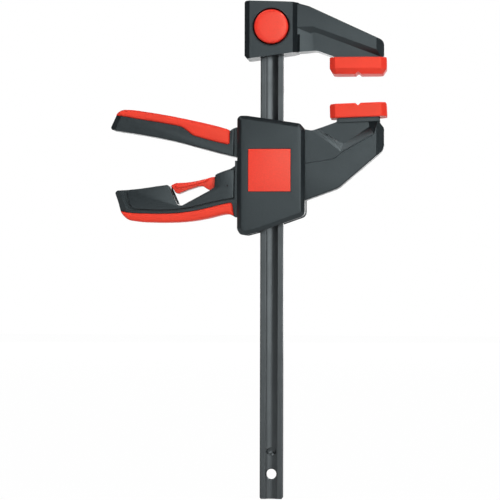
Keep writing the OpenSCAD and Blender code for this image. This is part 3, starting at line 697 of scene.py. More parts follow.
@dataclass
class Bar:
    """The steel bar with its hollow grooves, pressed stop and hanging hole."""

    paint: Paint
    half_w: float = 7.0
    half_t: float = 3.0
    groove: float = 3.7
    groove_depth: float = 1.2
    top: float = 41.7
    bottom: float = -256.2
    stop_z: float = -227.6
    hang_z: float = -241.2

    def profile(self) -> list[Point]:
        """Gives the section in X and Y: crowned flats each side of a round groove."""
        radius = (self.groove**2 + self.groove_depth**2) / (2 * self.groove_depth)
        reach = math.asin(self.groove / radius)
        edge = [(0.0, 0.6), (0.08, 0.3), (0.3, 0.08), (0.6, 0.0)]
        front = [(x - self.half_w, y - self.half_t) for x, y in edge]
        front.append((-self.groove - 0.1, -self.half_t))
        floor = self.groove_depth - self.half_t - radius
        turns = [reach * 0.97 * (k / 8 - 1) for k in range(17)]
        arc = [(radius * math.sin(a), floor + radius * math.cos(a)) for a in turns]
        front += arc + [(-x, y) for x, y in front[::-1]]
        return front + [(x, -y) for x, y in front[::-1]]

    def build(self) -> None:
        """Builds the bar."""
        bar = Solid.column(wound(self.profile()), self.bottom, self.top)
        dent = [(3.4, -4.0), (3.3, -self.half_t), (2.9, -2.4), (2.4, -1.7), (1.4, -1.05),
                (0.6, -0.75), (0.05, -0.7)]
        bump = [(3.1, 2.0), (2.9, 2.6), (2.4, 3.7), (1.6, 4.1), (0.05, 4.2)]
        hole = [(3.75, -self.half_t - OVER), (3.6, -1.85), (3.05, -1.3), (3.0, 1.3), (3.6, 1.85),
                (3.75, self.half_t + OVER)]
        bar.cut(Solid.turned(0, self.stop_z, dent), Solid.turned(0, self.hang_z, hole),
                Solid.box(-2.1, 2.1, 9.0, BUTTON_Z, self.top + OVER),
                Solid.rod(0, BUTTON_Z, LOCK_BORE, -9.0, 9.0))
        low = self.bottom
        for side in (-1, 1):
            corner = [(side * 5.2, low - 1.0), (side * 8.0, low - 1.0), (side * 8.0, low + 1.8)]
            bar.cut(Solid.plate(wound(corner), -self.half_t - OVER, self.half_t + OVER))
        bar.join(Solid.turned(0, self.stop_z, bump))
        bar.clean().soften(0.06, 14.0)
        bar.place("steel_bar", "bar", Body.FRAME, self.paint.bar)


@dataclass
class SoftPad:
    """A red pad that slips over the jaw, on its back with its clamping face at 0."""

    paint: Paint
    half_len: float = 17.1
    half_w: float = 11.5
    corner: float = 3.3
    vee: float = 1.65
    vee_depth: float = 1.5
    neck: Point = (12.13, 7.53)
    face: float = 4.47

    def build(self, name: str, node: str, body: Body, face_edge: float, height: float,
              to_jaw: Matrix) -> None:
        """Builds one pad.

        Args:
            name: The piece's name.
            node: The CAD node that it stands for.
            body: The body that it rides on.
            face_edge: Slope round the clamping face.
            height: The pad's height.
            to_jaw: Where the pad's face lies, from the bar's axis.
        """
        a, b, c = self.half_len, self.half_w, self.corner
        plan = rounded([(x, y, 0.8) for x, y in
                        ((-a, -b + c), (-a + c, -b), (a - c, -b), (a, -b + c), (a, b - c),
                         (a - c, b), (-a + c, b), (-a, b - c))])
        steps = [(face_edge + 0.25, 0.0), (face_edge, 0.08), (0.12, face_edge * 1.4),
                 (0.0, face_edge * 1.4 + 0.35), (0.0, height - 0.5), (0.15, height - 0.14),
                 (0.5, height)]
        pad = Solid([[(x, y, z) for x, y in inset(plan, d)] for d, z in steps])
        wide, deep = 3 * self.vee, -2 * self.vee_depth
        groove = [(-wide, deep), (wide, deep), (0.0, self.vee_depth)]
        x, y = self.neck
        pad.cut(Solid.plate(groove, -b - OVER, b + OVER),
                Solid.column([(-x, -y), (x, -y), (x, y), (-x, y)], self.face, height + OVER))
        pad.clean().soften(0.2).turn(to_jaw)
        pad.place(name, node, body, self.paint.rubber)


@dataclass
class Head:
    """The head, its fixed arm and its pad, at the bar's top end."""

    paint: Paint
    half_w: float = 16.4
    half_t: float = 10.5
    top: float = 44.6
    recess: float = 1.6

    def block(self) -> Solid:
        """Builds the head's block, with its sides sloped in plan."""
        w, t = self.half_w, self.half_t
        side = ARM_HALF - self.recess
        plan = [(-w, -t + 3.4), (-w + 3.3, -t), (w - 3.5, -t), (w - 0.9, -ARM_HALF), (w, -side),
                (w, side), (w - 0.9, ARM_HALF), (w - 3.5, t), (-w + 3.3, t), (-w, t - 3.4)]
        shares = [(-0.5, 0.258, 0.6), (-0.45, 0.214, 0.6), (0.5, 0.303, 0), (0.5, 0.972, 0),
                  (0.2, 0.983), (-0.5, 1, 1.3)]
        outline = rounded(scaled(shares, (0, 0), 2 * w, self.top))
        front = Solid.plate(outline, -t - OVER, t + OVER)
        return Solid.column(plan, 0, self.top + OVER).trim(front)

    def arm(self) -> Solid:
        """Builds the arm, with its tip sloped in plan."""
        span = ARM_TIP - self.half_w
        shares = [(-0.3, 0.3, 0), (0, 0.307, 0), (0.21, 0.327, 8), (0.4, 0.248, 1.5),
                  (0.43, 0.225, 0.5), (0.965, 0.225, 0.5), (1, 0.25, 0.6), (1, 0.452, 4),
                  (0.12, 0.925, 8), (0, 0.964, 0), (-0.3, 0.967, 0)]
        outline = rounded(scaled(shares, (self.half_w, 0), span, self.top))
        arm = Solid.slab(outline, ARM_HALF, 0.9)
        return arm.trim(arm_slope())

    def sunk(self) -> Solid:
        """Builds the cutter for the sunk lower half of the arm's front."""
        y, past = -ARM_HALF, 72.0
        out = [(14.5, -OVER), (past, -OVER), (past, 11.6), (25.0, 28.9), (19.0, 28.9),
               (14.5, 28.5)]
        low = [(23.5, -OVER), (past, -OVER), (past, 8.2), (27.2, 25.2), (25.0, 25.4),
               (23.5, 24.8)]
        return Solid([[(x, y - OVER, z) for x, z in out], [(x, y, z) for x, z in out],
                      [(x, y + self.recess, z) for x, z in low]])

    def build(self) -> None:
        """Builds the head, its collar and its pad."""
        sunk = self.sunk()
        arm = self.arm().cut(sunk.mirrored(), sunk)
        head = self.block().join(arm, pad_neck())
        plan = [(15.4, -9.0), (15.4, -7.4), (17.0, -5.8), (17.0, -9.0)]
        strip = Solid.column(plan, 12.9, 24.2)
        head.cut(strip.mirrored(), strip)
        head.cut(Solid.box(-7.03, 7.03, 3.03, -OVER, 41.73),
                 Solid.rod(0, BUTTON_Z, 10.3, -SIDE, -4.0),
                 Solid.rod(0, BUTTON_Z, 11.63, -SIDE, -7.5),
                 Solid.rod(0, BUTTON_Z, LOCK_BORE, -SIDE, SIDE),
                 Solid.rod(0, BUTTON_Z, 5.6, 7.0, SIDE))
        head.clean().soften(0.4)
        head.place("head_with_fixed_arm", "fixed_jaw", Body.FRAME, self.paint.black)
        self.collar()
        SoftPad(self.paint).build("fixed_arm_pad", "fixed_jaw_pad", Body.FRAME, 2.2, 10.0,
                                  Matrix.Translation((JAW_REACH, 0, 0)))

    def collar(self) -> None:
        """Turns the collar round the button."""
        outer = Solid.rod(0, BUTTON_Z, 11.6, -10.8, -7.6, 96)
        rim = Solid.turned(0, BUTTON_Z,
                           [(11.6, -10.85), (11.52, -11.0), (11.35, -11.1), (11.1, -11.1)], 96)
        well = Solid.turned(0, BUTTON_Z, [(11.45, -11.5), (11.25, -11.12), (11.05, -10.9),
                                          (10.75, -9.9), (10.32, -9.2), (10.32, 0)], 96)
        collar = outer.join(rim).cut(well)
        collar.clean().soften(0.1)
        collar.place("button_ring", "button_collar", Body.FRAME, self.paint.black)


def end_slope(end: Point, half: float, run: float, rise: float, side: int, past: float = 0.0,
              lean: float = 0.0) -> Solid:
    """Builds the prism that slopes both faces of an arm or handle towards its end.

    Args:
        end: The middle of the end, in X and Z.
        half: Half of the piece's thickness.
        run: Length of the slope along X.
        rise: How far the slope goes into the thickness.
        side: 1 where the end is at the right, and -1 where it is at the left.
        past: How far the slope runs past the end.
        lean: How far the end leans to the right at its top, in degrees.

    Returns:
        The prism.
    """
    face = run - past
    plan = [(FAR, -half - OVER), (FAR, half + OVER), (face, half + OVER), (face, half),
            (-past, half - rise), (-past, rise - half), (face, -half), (face, -half - OVER)]
    return Solid.column([(-side * x, y) for x, y in plan], -FAR, FAR).turn(
        Matrix.Translation((end[0], 0, end[1])) @ Matrix.Rotation(math.radians(lean), 4, "Y"))


def handle_slope(end: Point, half: float, lean: float = 0.0) -> Solid:
    """Builds the prism that slopes a handle towards its left end."""
    return end_slope(end, half, 4.8, 3.2, -1, 1.2, lean)


def arm_slope() -> Solid:
    """Builds the prism that slopes either arm towards its tip."""
    return end_slope((ARM_TIP, 0.0), ARM_HALF, 4.6, 2.8, 1)


def pad_neck() -> Solid:
    """Builds the neck that carries a pad, on the fixed jaw's face."""
    return Solid.box(JAW_REACH - NECK_HALF, JAW_REACH + NECK_HALF, ARM_HALF, 4.5, 11.0)


@dataclass
class PushButton:
    """The red button with the pin and clip that it carries."""

    paint: Paint
    radius: float = 10.25
    front: float = -13.0
    skirt: float = 4.9

    def build(self) -> None:
        """Builds the button, which carries the pin and the clip."""
        r, y = self.radius, self.front
        crown = [(0.05, y), (4.0, y + 0.02), (7.0, y + 0.07), (r - 1.5, y + 0.16),
                 (r - 0.85, y + 0.34), (r - 0.35, y + 0.72), (r - 0.08, y + 1.2), (r, y + 1.7),
                 (r, y + self.skirt), (r - 1.3, y + self.skirt), (0.05, y + self.skirt)]
        button = Solid.turned(0, BUTTON_Z, crown, 96)
        button.cut(Solid.rod(0, BUTTON_Z, r - 1.3, y + 1.4, y + 9, 96)
                   .cut(Solid.rod(0, BUTTON_Z, 4.6, y, y + 12)))
        button.clean().soften(0.12)
        button.place("red_push_button", "push_button", Body.BUTTON, self.paint.red)


@dataclass
class Carriage:
    """The sliding jaw's moulding with its covers, panels, grip, pad and label plate."""

    paint: Paint
    half_core: float = 10.0
    cover_top: float = -7.4
    cover_w: float = 40.8
    cover_h: float = 72.0
    cover_y: float = 13.0
    core_left: float = -21.8
    handle_root: Point = (-21.8, -37.2)
    handle_len: float = 73.6
    handle_drop: float = 34.6
    web: float = 6.3
    bay: Point = (-19.0, 13.6)

    @property
    def cover_outline(self) -> list[Point]:
        """Gives the outline of both covers."""
        shares = [(-0.5, 0, 3), (-0.5, -0.95, 3), (-0.455, -0.995, 3), (-0.37, -1, 3),
                  (-0.16, -0.969, 12), (0.5, -0.836, 3.8), (0.5, -0.115, 3.2), (0.43, -0.067, 3.2),
                  (-0.36, 0, 12)]
        return rounded(scaled(shares, (0, self.cover_top), self.cover_w, self.cover_h))

    def _handle(self, shares: list[Share]) -> list[Share]:
        """Places shares of the fixed handle."""
        return scaled(shares, self.handle_root, self.handle_len, self.handle_drop)

    @property
    def handle_top(self) -> list[Share]:
        """Gives the fixed handle's upper edge, with the gap round the release lever."""
        return self._handle([
            (0, 0, 1.2), (-0.037, -0.058), (-0.12, -0.118), (-0.165, -0.16, 2.0),
            (-0.172, -0.38, 1.5), (-0.212, -0.438, 1.6), (-0.44, -0.7, 1.2),
            (-0.477, -0.686, 1.2), (-0.544, -0.36, 1.6), (-0.562, -0.338, 1.4),
            (-0.64, -0.359), (-0.782, -0.405), (-0.905, -0.428)])

    @property
    def handle_cap(self) -> list[Share]:
        """Gives the fixed handle's end."""
        return self._handle([(-0.975, -0.434, 1.4), (-1, -0.47, 1.4), (-0.974, -0.615)])

    @property
    def handle_joint(self) -> list[Share]:
        """Gives the line between the fixed handle and its grip, from the end to the root."""
        return self._handle([
            (-0.949, -0.802, 0), (-0.85, -0.829), (-0.64, -0.84),
            (-0.499, -0.834), (-0.373, -0.802), (-0.249, -0.75),
            (-0.083, -0.66), (-0.03, -0.643, 1.1), (-0.02, -0.7),
            (-0.014, -0.79), (-0.006, -0.89, 0)])

    @property
    def handle_low(self) -> list[Share]:
        """Gives the grip's lower edge, from the root to the end."""
        return self._handle([
            (-0.032, -0.863), (-0.065, -0.845), (-0.107, -0.854),
            (-0.165, -0.886), (-0.249, -0.93), (-0.373, -0.974),
            (-0.499, -0.994), (-0.64, -0.997), (-0.79, -0.986),
            (-0.875, -0.96), (-0.908, -0.916), (-0.935, -0.856)])

    @property
    def panel_outline(self) -> list[Point]:
        """Gives the outline of both side panels."""
        low = self._handle([
            (-0.885, -0.6), (-0.87, -0.7), (-0.845, -0.76, 2.5),
            (-0.64, -0.784), (-0.499, -0.776), (-0.373, -0.738),
            (-0.249, -0.674), (-0.124, -0.612), (-0.01, -0.574, 0.8),
            (-0.006, -0.06, 0.8)])
        return rounded(self.handle_top[1:] + low)

    def sliding_arm(self) -> Solid:
        """Builds the arm, with its sunk front and the pocket behind the pad."""
        root = (self.cover_w / 2, 0.0)
        shares = [(-0.25, -0.26, 0), (-0.25, -0.88, 0), (0, -0.98, 0), (0.39, -0.867, 7),
                  (0.44, -0.846, 7), (0.985, -0.477, 4), (1, -0.427, 4), (1, -0.247, 2.5),
                  (0.95, -0.197, 1.5), (0.95, -0.122, 0), (0.403, -0.122, 0), (0.399, -0.184, 1),
                  (0.085, -0.273, 4), (0, -0.261, 0)]
        outline = rounded(scaled(shares, root, ARM_TIP - root[0], self.cover_h * 0.826))
        arm = Solid.slab(outline, ARM_HALF, 0.9)
        arm.trim(arm_slope())
        arm.cut(Solid.box(JAW_REACH - 17.1, ARM_TIP + 0.5, SIDE, -OVER, 8.43)
                .turn(to_sliding_face()))
        near = rounded([(14, -12, 0), (14, -36.7, 0), (20.4, -36.2, 0), (34.6, -34.1, 6),
                        (38.8, -32.9, 4), (42.2, -29.7, 4), (61.4, -18.9, 1.5), (61.3, -12.0, 0),
                        (58, -6, 0), (30, -6, 0)])
        left, tip = [(24.0, -15.9), (25.2, -16.8)], [(65.4, -5.0), (31.0, -5.0)]
        y = -ARM_HALF
        rings = ((-OVER, (41.7, -29.8), (61.7, -18.9)), (0.0, (41.7, -29.8), (61.7, -18.9)),
                 (0.8, (41.7, -28.8), (61.4, -17.7)))
        deep = [[(x, y + d, z) for x, z in [*left, low, far, *tip]] for d, low, far in rings]
        floor = [(29.0, -13.0), (30.2, -16.3), (43.2, -24.2), (58.9, -13.9), (57.3, -5.0),
                 (34.0, -5.0)]
        cutters = []
        for cutter in (Solid([*deep, [(x, y + 3.0, z) for x, z in floor]]),
                       Solid.loft(near, [(0, y - OVER), (0, y), (0.35, y + 0.8)])):
            cutters += [cutter.mirrored(), cutter]
        return arm.cut(*cutters)

    def lever_bay(self) -> list[Solid]:
        """Builds the cutters that leave room for the squeeze lever's root."""
        (x, z), reach, half = CAM, CAM_R + 0.4, 6.9
        low = z - 6.0 * math.sin(math.radians(15))
        bottom, top = low - reach, z + reach
        return [Solid.rod(x, z, reach, -half, half), Solid.rod(x, low, reach, -half, half),
                Solid.rod(*PUMP_PIN, 5.6, -half, half),
                Solid.box(x, PUMP_PIN[0], half, bottom, z),
                Solid.box(-FAR, x - 0.4, SIDE, bottom, top),
                Solid.box(-FAR, x, half, bottom, top)]

    def bays(self) -> list[Solid]:
        """Builds the cutters for the release lever, both plates, their springs and the bar."""
        x0, x1 = self.bay
        return [Solid.box(-35.8, x0 + 1, 5.9, -58.17, -42.75),
                Solid.box(-39.83, x0, 5.9, -54.83, -42.75),
                Solid.box(-62.0, -53.9, self.web + OVER, -60.4, 0),
                Solid.box(self.core_left + 1.4, x1, SIDE, -48.3, -32.5),
                Solid.box(x0, 10.0, SIDE, -65.55, -50.7),
                Solid.box(x0, x1, SIDE, -65.55, -54.56),
                Solid.box(-7.2, 7.2, 3.2, -90, 0), Solid.box(-9, 9, SIDE, -90, -74.8)]

    def moulding(self) -> None:
        """Builds the core with its arm and the fixed handle's frame."""
        core = Solid.slab(inset(self.cover_outline, 0.5), self.half_core)
        strip = Solid.box(self.core_left, 0, 9.5, -68.5, PUMP_PIN[1])
        neck = pad_neck().turn(to_sliding_face())
        inside = [(self.core_left, -68.5, 0), (-13, -68.5, 0), (-13, -37, 0)]
        whole = rounded([*self.handle_top, *self.handle_cap, (-91.8, -65.0),
                         *self.handle_low[::-1], *inside])
        grip = rounded(self.handle_joint + self.handle_low)
        handle = Solid.slab(whole, HANDLE_HALF, 1.0)
        handle.trim(handle_slope((-94.6, -55.9), HANDLE_HALF, -18.0))
        seat = Solid.plate(inset(self.panel_outline, -0.9), -SIDE, -self.web)
        cap_groove = rounded([(-89.7, -49, 0), (-89.7, -53.2), (-88.0, -60.3),
                              (-85.4, -64.2, 2.0), (-81, -65.2, 0), (-81, -49, 0)])
        groove = Solid.plate(cap_groove, -SIDE, -self.web)
        handle.cut(Solid.plate(grip, -SIDE, SIDE), groove.mirrored(), groove, seat.mirrored(),
                   seat)
        core.join(strip, self.sliding_arm(), neck, handle)
        core.cut(*self.lever_bay(), *self.bays())
        core.clean().soften(0.3)
        core.place("carriage_with_sliding_arm", "sliding_jaw", Body.CARRIAGE, self.paint.black)
        lower = Solid.slab(grip, GRIP_HALF, 1.9).trim(handle_slope((-93.6, -68.0), GRIP_HALF))
        lower.clean().soften(0)
        lower.place("fixed_handle_grip", "lower_grip", Body.CARRIAGE, self.paint.rubber)

    def panels(self) -> None:
        """Builds the fixed handle's two side panels."""
        for name, node, side in (("front_panel", "front_handle_panel", -1),
                                 ("rear_panel", "rear_handle_panel", 1)):
            edge = [(d, 8.5 - y) for d, y in quarter(0.7)]
            panel = Solid.loft(self.panel_outline, [(0, self.web + 0.03)] + edge[::-1])
            panel.cut(Solid.turned(*RELEASE_PIN, [(1.53, 0), (1.53, 7.5), (0.6, 7.5), (0.6, 12)]))
            if side < 0:
                panel.turn(Matrix.Scale(-1, 4, (0, 1, 0)))
            panel.clean().soften(0.1, 30.0)
            panel.place(name, node, Body.CARRIAGE, self.paint.black)

    def covers(self) -> None:
        """Builds the two covers and the bare label plate."""
        y0, y1 = self.half_core + 0.03, self.cover_y
        front = [(0, y0), (0, y0 + 0.5), (0.06, y0 + 0.75), (0.3, y0 + 1.05), (2.05, y1 - 0.3),
                 (2.3, y1 - 0.13), (2.6, y1 - 0.03), (2.9, y1)]
        rear = [(0, y0), (0, y1 - 1.5), (0.1, y1 - 1.1), (1.1, y1 - 0.1), (1.5, y1)]
        plate = [(-13.68, -53.27), (12.12, -53.27), (12.12, -27.48), (-13.68, -27.48)]
        cover = Solid.loft(self.cover_outline, front)
        cover.turn(Matrix.Scale(-1, 4, (0, 1, 0)))
        cover.cut(Solid.plate(inset(plate, -0.03), -y1 - OVER, -y1 + 0.64))
        cover.clean().soften(0.1, 17.0)
        cover.place("front_shell", "front_cover", Body.CARRIAGE, self.paint.black)
        back = Solid.loft(self.cover_outline, rear)
        for x, z in SCREWS:
            back.cut(Solid.rod(x, z, 2.43, y1 - 1.6, y1 + OVER, 48))
        back.clean().soften(0.12, 30.0)
        back.place("rear_shell", "rear_cover", Body.CARRIAGE, self.paint.black)
        rim = [(0.17, -12.39), (0.17, -12.9), (0.17, -13.05), (0.3, -13.17), (0.45, -13.19)]
        label = Solid.loft(rounded([(x, z, 0.5) for x, z in plate]), rim)
        label.clean().soften(0)
        label.place("bare_label_plate", "name_plate", Body.CARRIAGE, self.paint.red)

    def build(self) -> None:
        """Builds the whole carriage."""
        self.moulding()
        self.panels()
        self.covers()
        SoftPad(self.paint).build("sliding_arm_pad", "sliding_jaw_pad", Body.CARRIAGE, 0.66, 8.4,
                                  to_sliding_face() @ Matrix.Translation((JAW_REACH, 0, 0)))


def to_sliding_face() -> Matrix:
    """Turns a piece drawn on the fixed jaw's face over onto the sliding jaw's face."""
    return (Matrix.Translation((JAW_REACH, 0, 0)) @ Matrix.Rotation(math.radians(-2), 4, "Y")
            @ Matrix.Scale(-1, 4, (0, 0, 1)) @ Matrix.Translation((-JAW_REACH, 0, 0)))


@dataclass
class SqueezeLever:
    """The black squeeze lever with its round cam and its red grip."""

    paint: Paint
    root: Point = (-21.8, -23.2)
    length: float = 76.5
    height: float = 30.6
    root_half: float = 6.5

    def _placed(self, shares: list[Share]) -> list[Share]:
        """Places shares of the lever."""
        return scaled(shares, self.root, self.length, self.height)

    def build(self) -> None:
        """Builds the lever and its grip."""
        joint = self._placed([
            (-0.043, -0.02, 1.2), (-0.059, -0.05, 1.2), (-0.176, 0.017),
            (-0.281, 0.093), (-0.341, 0.133), (-0.395, 0.253),
            (-0.435, 0.313), (-0.475, 0.333), (-0.62, 0.4),
            (-0.757, 0.453), (-0.951, 0.543, 0)])
        low = self._placed([
            (-0.996, 0.298, 1.2), (-0.984, 0.256, 1.2), (-0.943, 0.233),
            (-0.757, 0.16), (-0.62, 0.096), (-0.483, 0.026),
            (-0.281, -0.112), (-0.16, -0.192), (-0.039, -0.268),
            (-0.009, -0.28, 1.1), (-0.008, 0.303, 1.1), (-0.024, 0.243)])
        top = self._placed([
            (-0.943, 0.583), (-0.919, 0.63), (-0.891, 0.653),
            (-0.823, 0.65), (-0.757, 0.627), (-0.62, 0.573),
            (-0.483, 0.513), (-0.281, 0.403), (-0.16, 0.333),
            (-0.06, 0.26), (-0.043, 0.233, 1.1)])
        whole = rounded([*low, *self._placed([(-0.043, 0.193, 0)]), *top[::-1]])
        grip = rounded(joint + top)
        lever = Solid.slab(whole, HANDLE_HALF, 1.0)
        lever.trim(handle_slope((-96.5, -10.4), HANDLE_HALF, 24.0))
        lever.cut(Solid.plate(grip, -SIDE, SIDE))
        lever.join(Solid.rod(*CAM, CAM_R, -self.root_half, self.root_half),
                   Solid.rod(*PUMP_PIN, 5.2, -self.root_half, self.root_half))
        lever.cut(Solid.rod(*PUMP_PIN, 2.55, -SIDE, SIDE))
        lever.clean().soften(0.25)
        lever.place("squeeze_lever_arm", "pump_lever", Body.LEVER, self.paint.black)
        red = Solid.slab(grip, GRIP_HALF, 1.9).trim(handle_slope((-95.3, -6.0), GRIP_HALF))
        red.clean().soften(0)
        red.place("squeeze_lever_grip", "upper_grip", Body.LEVER, self.paint.rubber)


@dataclass
class ReleaseLever:
    """The red trigger with its finger pad, and the pin that it turns on."""

    paint: Paint
    length: float = 35.0
    half: float = 5.5
    pad_half: float = 7.0

    def build(self) -> None:
        """Builds the trigger."""
        shares = [(-0.02, -0.115, 1), (0.03, -0.02, 1), (0.03, 0.04, 1), (-0.05, 0.115, 2),
                  (-0.228, 0.167), (-0.38, 0.122), (-0.54, 0.083),
                  (-0.71, 0.056), (-0.9, 0.05, 1.5), (-1, 0.005, 1),
                  (-0.95, -0.05), (-0.908, -0.117, 1.2), (-0.87, -0.139, 1.2),
                  (-0.71, -0.072), (-0.52, -0.008), (-0.44, 0),
                  (-0.39, -0.033), (-0.34, -0.067), (-0.28, -0.085)]
        finger = [(-0.335, 0.082, 0.9), (-0.33, 0.128, 0.9), (-0.45, 0.092),
                  (-0.7, 0.04), (-0.895, 0.025, 0.9), (-0.915, -0.01, 0.9),
                  (-0.885, -0.045, 0.9), (-0.7, -0.022), (-0.5, 0.028)]
        sides, finger = (rounded(scaled(part, RELEASE_PIN, self.length, self.length))
                         for part in (shares, finger))
        lever, rib = Solid.slab(sides, self.half, 0.6), Solid.slab(finger, self.pad_half, 0.9)
        x, z = RELEASE_PIN
        lever.join(rib, Solid.rod(x, z, 3.9, -self.half, self.half),
                   Solid.rod(x - 6, z - 0.8, 3.2, -self.half, self.half))
        lever.cut(Solid.rod(x, z, 1.55, -SIDE, SIDE))
        lever.clean().soften(0.3)
        lever.place("red_trigger", "release_lever", Body.TRIGGER, self.paint.red)


@dataclass
class Coil:
    """A wire spring wound along Y or Z."""

    paint: Paint
    name: str
    node: str
    body: Body
    joint: str
    start: Spot
    length: float
    mean_r: float
    wire_r: float
    keep: float
    along_y: bool = False
    turns: int = 5

    def build(self) -> None:
        """Builds the coil with ground ends."""
        steps, sides = 28, 10
        count = self.turns * steps
        rise = self.length - 2 * self.wire_r
        rings = []
        for k in range(count + 1):
            turn = k / steps
            share = max(0.0, min(1.0, (turn - 0.75) / (self.turns - 1.5)))
            height = self.wire_r + self.wire_r * 0.4 + (rise - self.wire_r * 0.8) * share
            a = 2 * math.pi * turn
            ring = []
            for s in range(sides):
                b = 2 * math.pi * s / sides
                r = self.mean_r + self.wire_r * math.cos(b)
                ring.append((r * math.cos(a), r * math.sin(a), height + self.wire_r * math.sin(b)))
            rings.append(ring)
        coil = Solid(rings)
        if self.along_y:
            coil.turn(Matrix.Rotation(math.radians(-90), 4, "X"))
        coil.turn(Matrix.Translation(self.start)).soften(0, 60)
        piece = coil.place(self.name, self.node, self.body, self.paint.zinc)
        x, y, z = self.start
        fixed = y + self.length if self.along_y else y
        (x - JAW_REACH) * MM
        fixed * MM
        (z - self.body.drop) * MM
        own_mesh(piece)


@dataclass
class Hardware:
    """Pins, plates, clip and screws."""

    paint: Paint

    def keep(self, node: str, coat: Coat) -> None:
        """Keeps a CAD node, with round edges and a finish.

        Args:
            node: The node's name.
            coat: Its finish.
        """
        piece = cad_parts[node]
        piece.data.materials.clear()
        piece.data.materials.append(coat.material)
        weld = piece.modifiers.new("weld", "WELD")
        weld.merge_threshold = 0.000002
        edges = piece.modifiers.new("edges", "BEVEL")
        edges.width, edges.segments, edges.limit_method = 0.00012, 2, "ANGLE"
        edges.angle_limit = math.radians(40)
        LOG.info("%s keeps its CAD shape", node)

    def screws(self) -> None:
        """Builds the four cover screws with round heads and hexagon sockets."""
        first = None
        for x, z in SCREWS:
            head = Solid.turned(x, z, [(1.3, -11.5), (1.3, 11.4), (2.4, 11.42), (2.4, 12.4),
                                       (2.25, 12.75), (1.9, 12.88), (0.05, 12.9)], 48)
            head.cut(Solid.rod(x, z, 1.25, 11.9, 14, 6))
            first = first.join(head) if first else head
        first.clean().soften(0.08)
        first.place("cover_screw_set", "cover_screws", Body.CARRIAGE, self.paint.zinc)

    def build(self) -> None:
        """Builds or dresses every small part."""
        for node in ("lock_pin", "pin_clip", "pump_pin"):
            self.keep(node, self.paint.zinc)
        end = [(0.5, -8.1), (0.5, -7.45), (1.25, -7.45), (1.48, -7.2)]
        pin = Solid.turned(*RELEASE_PIN, end + [(r, -y) for r, y in end[::-1]], 48)
        pin.soften(0, 25).place("trigger_pin", "release_pin", Body.CARRIAGE, self.paint.dark)
        for node in ("drive_plates", "brake_plate"):
            self.keep(node, self.paint.plate)
        self.screws()
        Coil(self.paint, "button_return_spring", "button_spring", Body.FRAME, "button_press",
             (0, -11.5, BUTTON_Z), 7.1, 5.9, 0.4, 0.47, along_y=True).build()
        Coil(self.paint, "drive_return_spring", "drive_spring", Body.CARRIAGE, "drive_stroke",
             (0, 0, -48.27), 11.57, 8.72, 0.6, 0.87).build()
        Coil(self.paint, "brake_lean_spring", "brake_spring", Body.CARRIAGE, "brake_tilt",
             (-12.6, 0, -65.51), 8.1, 2.55, 0.45, 0.93).build()


# The studio


@dataclass(frozen=True)
class Lamp:
    """An area lamp that faces the clamp, with its size in metres and its power in watts."""

    name: str
    place: Spot
    size: Point
    power: float

    def light(self, target: Spot) -> None:
        """Hangs the lamp, unseen by the camera."""
        data = bpy.data.lights.new(self.name, "AREA")
        data.shape, data.size, data.size_y, data.energy = "RECTANGLE", *self.size, self.power
        lamp = bpy.data.objects.new(self.name, data)
        lamp.location, lamp.visible_camera = self.place, False
        lamp.rotation_euler = (Vector(target) - Vector(self.place)).to_track_quat(
            "-Z", "Y").to_euler()
        bpy.context.scene.collection.objects.link(lamp)


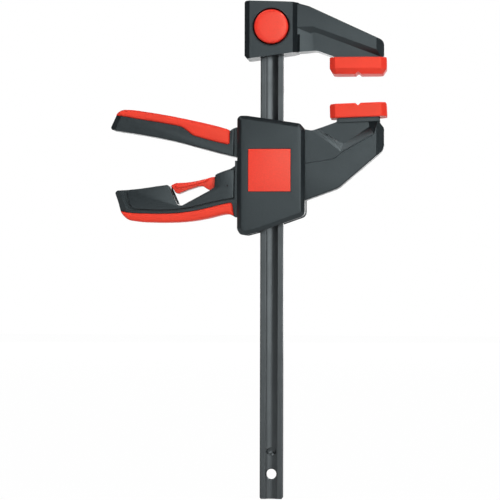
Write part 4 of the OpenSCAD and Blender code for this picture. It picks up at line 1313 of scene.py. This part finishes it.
@dataclass
class Studio:
    """Plain light, a white surround and the camera."""

    target: Spot = (-0.0656, 0.0, -0.1057)
    camera: Spot = (0.0346, -1.1456, -0.1136)
    roll: float = 0.14
    lens: float = 136.4
    floor_z: float = -0.2566
    lamps: tuple[Lamp, ...] = (
        Lamp("key", (0.7, -1.95, 0.2), (2.0, 1.4), 29),
        Lamp("fill", (-1.24, -1.0, 1.74), (1.4, 1.4), 20),
        Lamp("upper", (0.75, -0.62, 1.2), (0.5, 0.5), 9),
        Lamp("rear", (-0.3, 2.2, 0.1), (1.6, 1.6), 26))

    def white(self, name: str, colour: float, glow: float, mirrored: float) -> bpy.types.Material:
        """Makes a pale surface that the camera sees as white.

        Args:
            name: The material's name.
            colour: Its own paleness.
            glow: The share of plain white in what the camera sees.
            mirrored: The same share in what gloss shows of it.

        Returns:
            The material.
        """
        material = bpy.data.materials.new(name)
        graph = Graph(material)
        seen = graph.most(graph.ray("Camera") * glow,
                          graph.most(graph.ray("Glossy") * mirrored, graph.ray("Transmission")))
        matte = graph.add("ShaderNodeBsdfDiffuse", None, {"Color": (colour, colour, colour, 1)})
        light = graph.add("ShaderNodeEmission", None, {"Color": (1, 1, 1, 1), "Strength": 1.0})
        mixed = graph.add("ShaderNodeMixShader", None, {0: seen, 1: matte, 2: light})
        graph.add("ShaderNodeOutputMaterial", None, {"Surface": mixed})
        return material

    def sheet(self, name: str, corners: list[Spot], material: bpy.types.Material) -> None:
        """Adds a flat sheet of the surround."""
        mesh = bpy.data.meshes.new(name)
        mesh.from_pydata(corners, [], [tuple(range(len(corners)))])
        mesh.materials.append(material)
        sheet = bpy.data.objects.new(name, mesh)
        bpy.context.scene.collection.objects.link(sheet)

    def build(self) -> None:
        """Builds the studio."""
        scene = bpy.context.scene
        scene.view_settings.view_transform = "Standard"
        data = bpy.data.cameras.new("camera")
        data.lens, data.sensor_width = self.lens, 36.0
        data.clip_start, data.clip_end = 0.05, 30.0
        camera = bpy.data.objects.new("camera", data)
        camera.location = self.camera
        aim = (Vector(self.target) - Vector(self.camera)).to_track_quat("-Z", "Y").to_matrix()
        roll = Matrix.Rotation(math.radians(self.roll), 3, "Z")
        camera.rotation_euler = (aim @ roll).to_euler()
        scene.collection.objects.link(camera)
        scene.camera = camera
        z = self.floor_z
        self.sheet("near_floor", [(-6, -6, z), (6, -6, z), (6, 0.6, z), (-6, 0.6, z)],
                   self.white("pale_floor", 0.9, 0.985, 0.25))
        self.sheet("far_floor", [(-6, 0.6, z), (6, 0.6, z), (6, 6, z), (-6, 6, z)],
                   self.white("pale_far_floor", 0.9, 0.985, 1.0))
        self.sheet("backdrop", [(-3, 2.6, z), (3, 2.6, z), (3, 2.6, 2.6), (-3, 2.6, 2.6)],
                   self.white("pale_backdrop", 0.8, 1.0, 1.0))
        world = bpy.data.worlds.new("surround")
        scene.world = world
        graph = Graph(world)
        seen = graph.most(graph.ray("Camera"), graph.ray("Transmission"))
        dim, full = (graph.add("ShaderNodeBackground", None, {"Color": colour, "Strength": glow})
                     for colour, glow in (((0.9, 0.93, 1, 1), 0.08), ((1, 1, 1, 1), 1.0)))
        mixed = graph.add("ShaderNodeMixShader", None, {0: seen, 1: dim, 2: full})
        graph.add("ShaderNodeOutputWorld", None, {"Surface": mixed})
        for lamp in self.lamps:
            lamp.light(self.target)


def main() -> None:
    """Builds the clamp and its studio."""
    logging.basicConfig(level=logging.INFO, format="%(name)s: %(message)s")
    paint = Paint()
    for part in (Bar(paint), Head(paint), PushButton(paint), Carriage(paint),
                 SqueezeLever(paint), ReleaseLever(paint), Hardware(paint)):
        part.build()
        LOG.info("%s done", type(part).__name__)
    Studio().build()


if __name__ == "__main__":
    main()
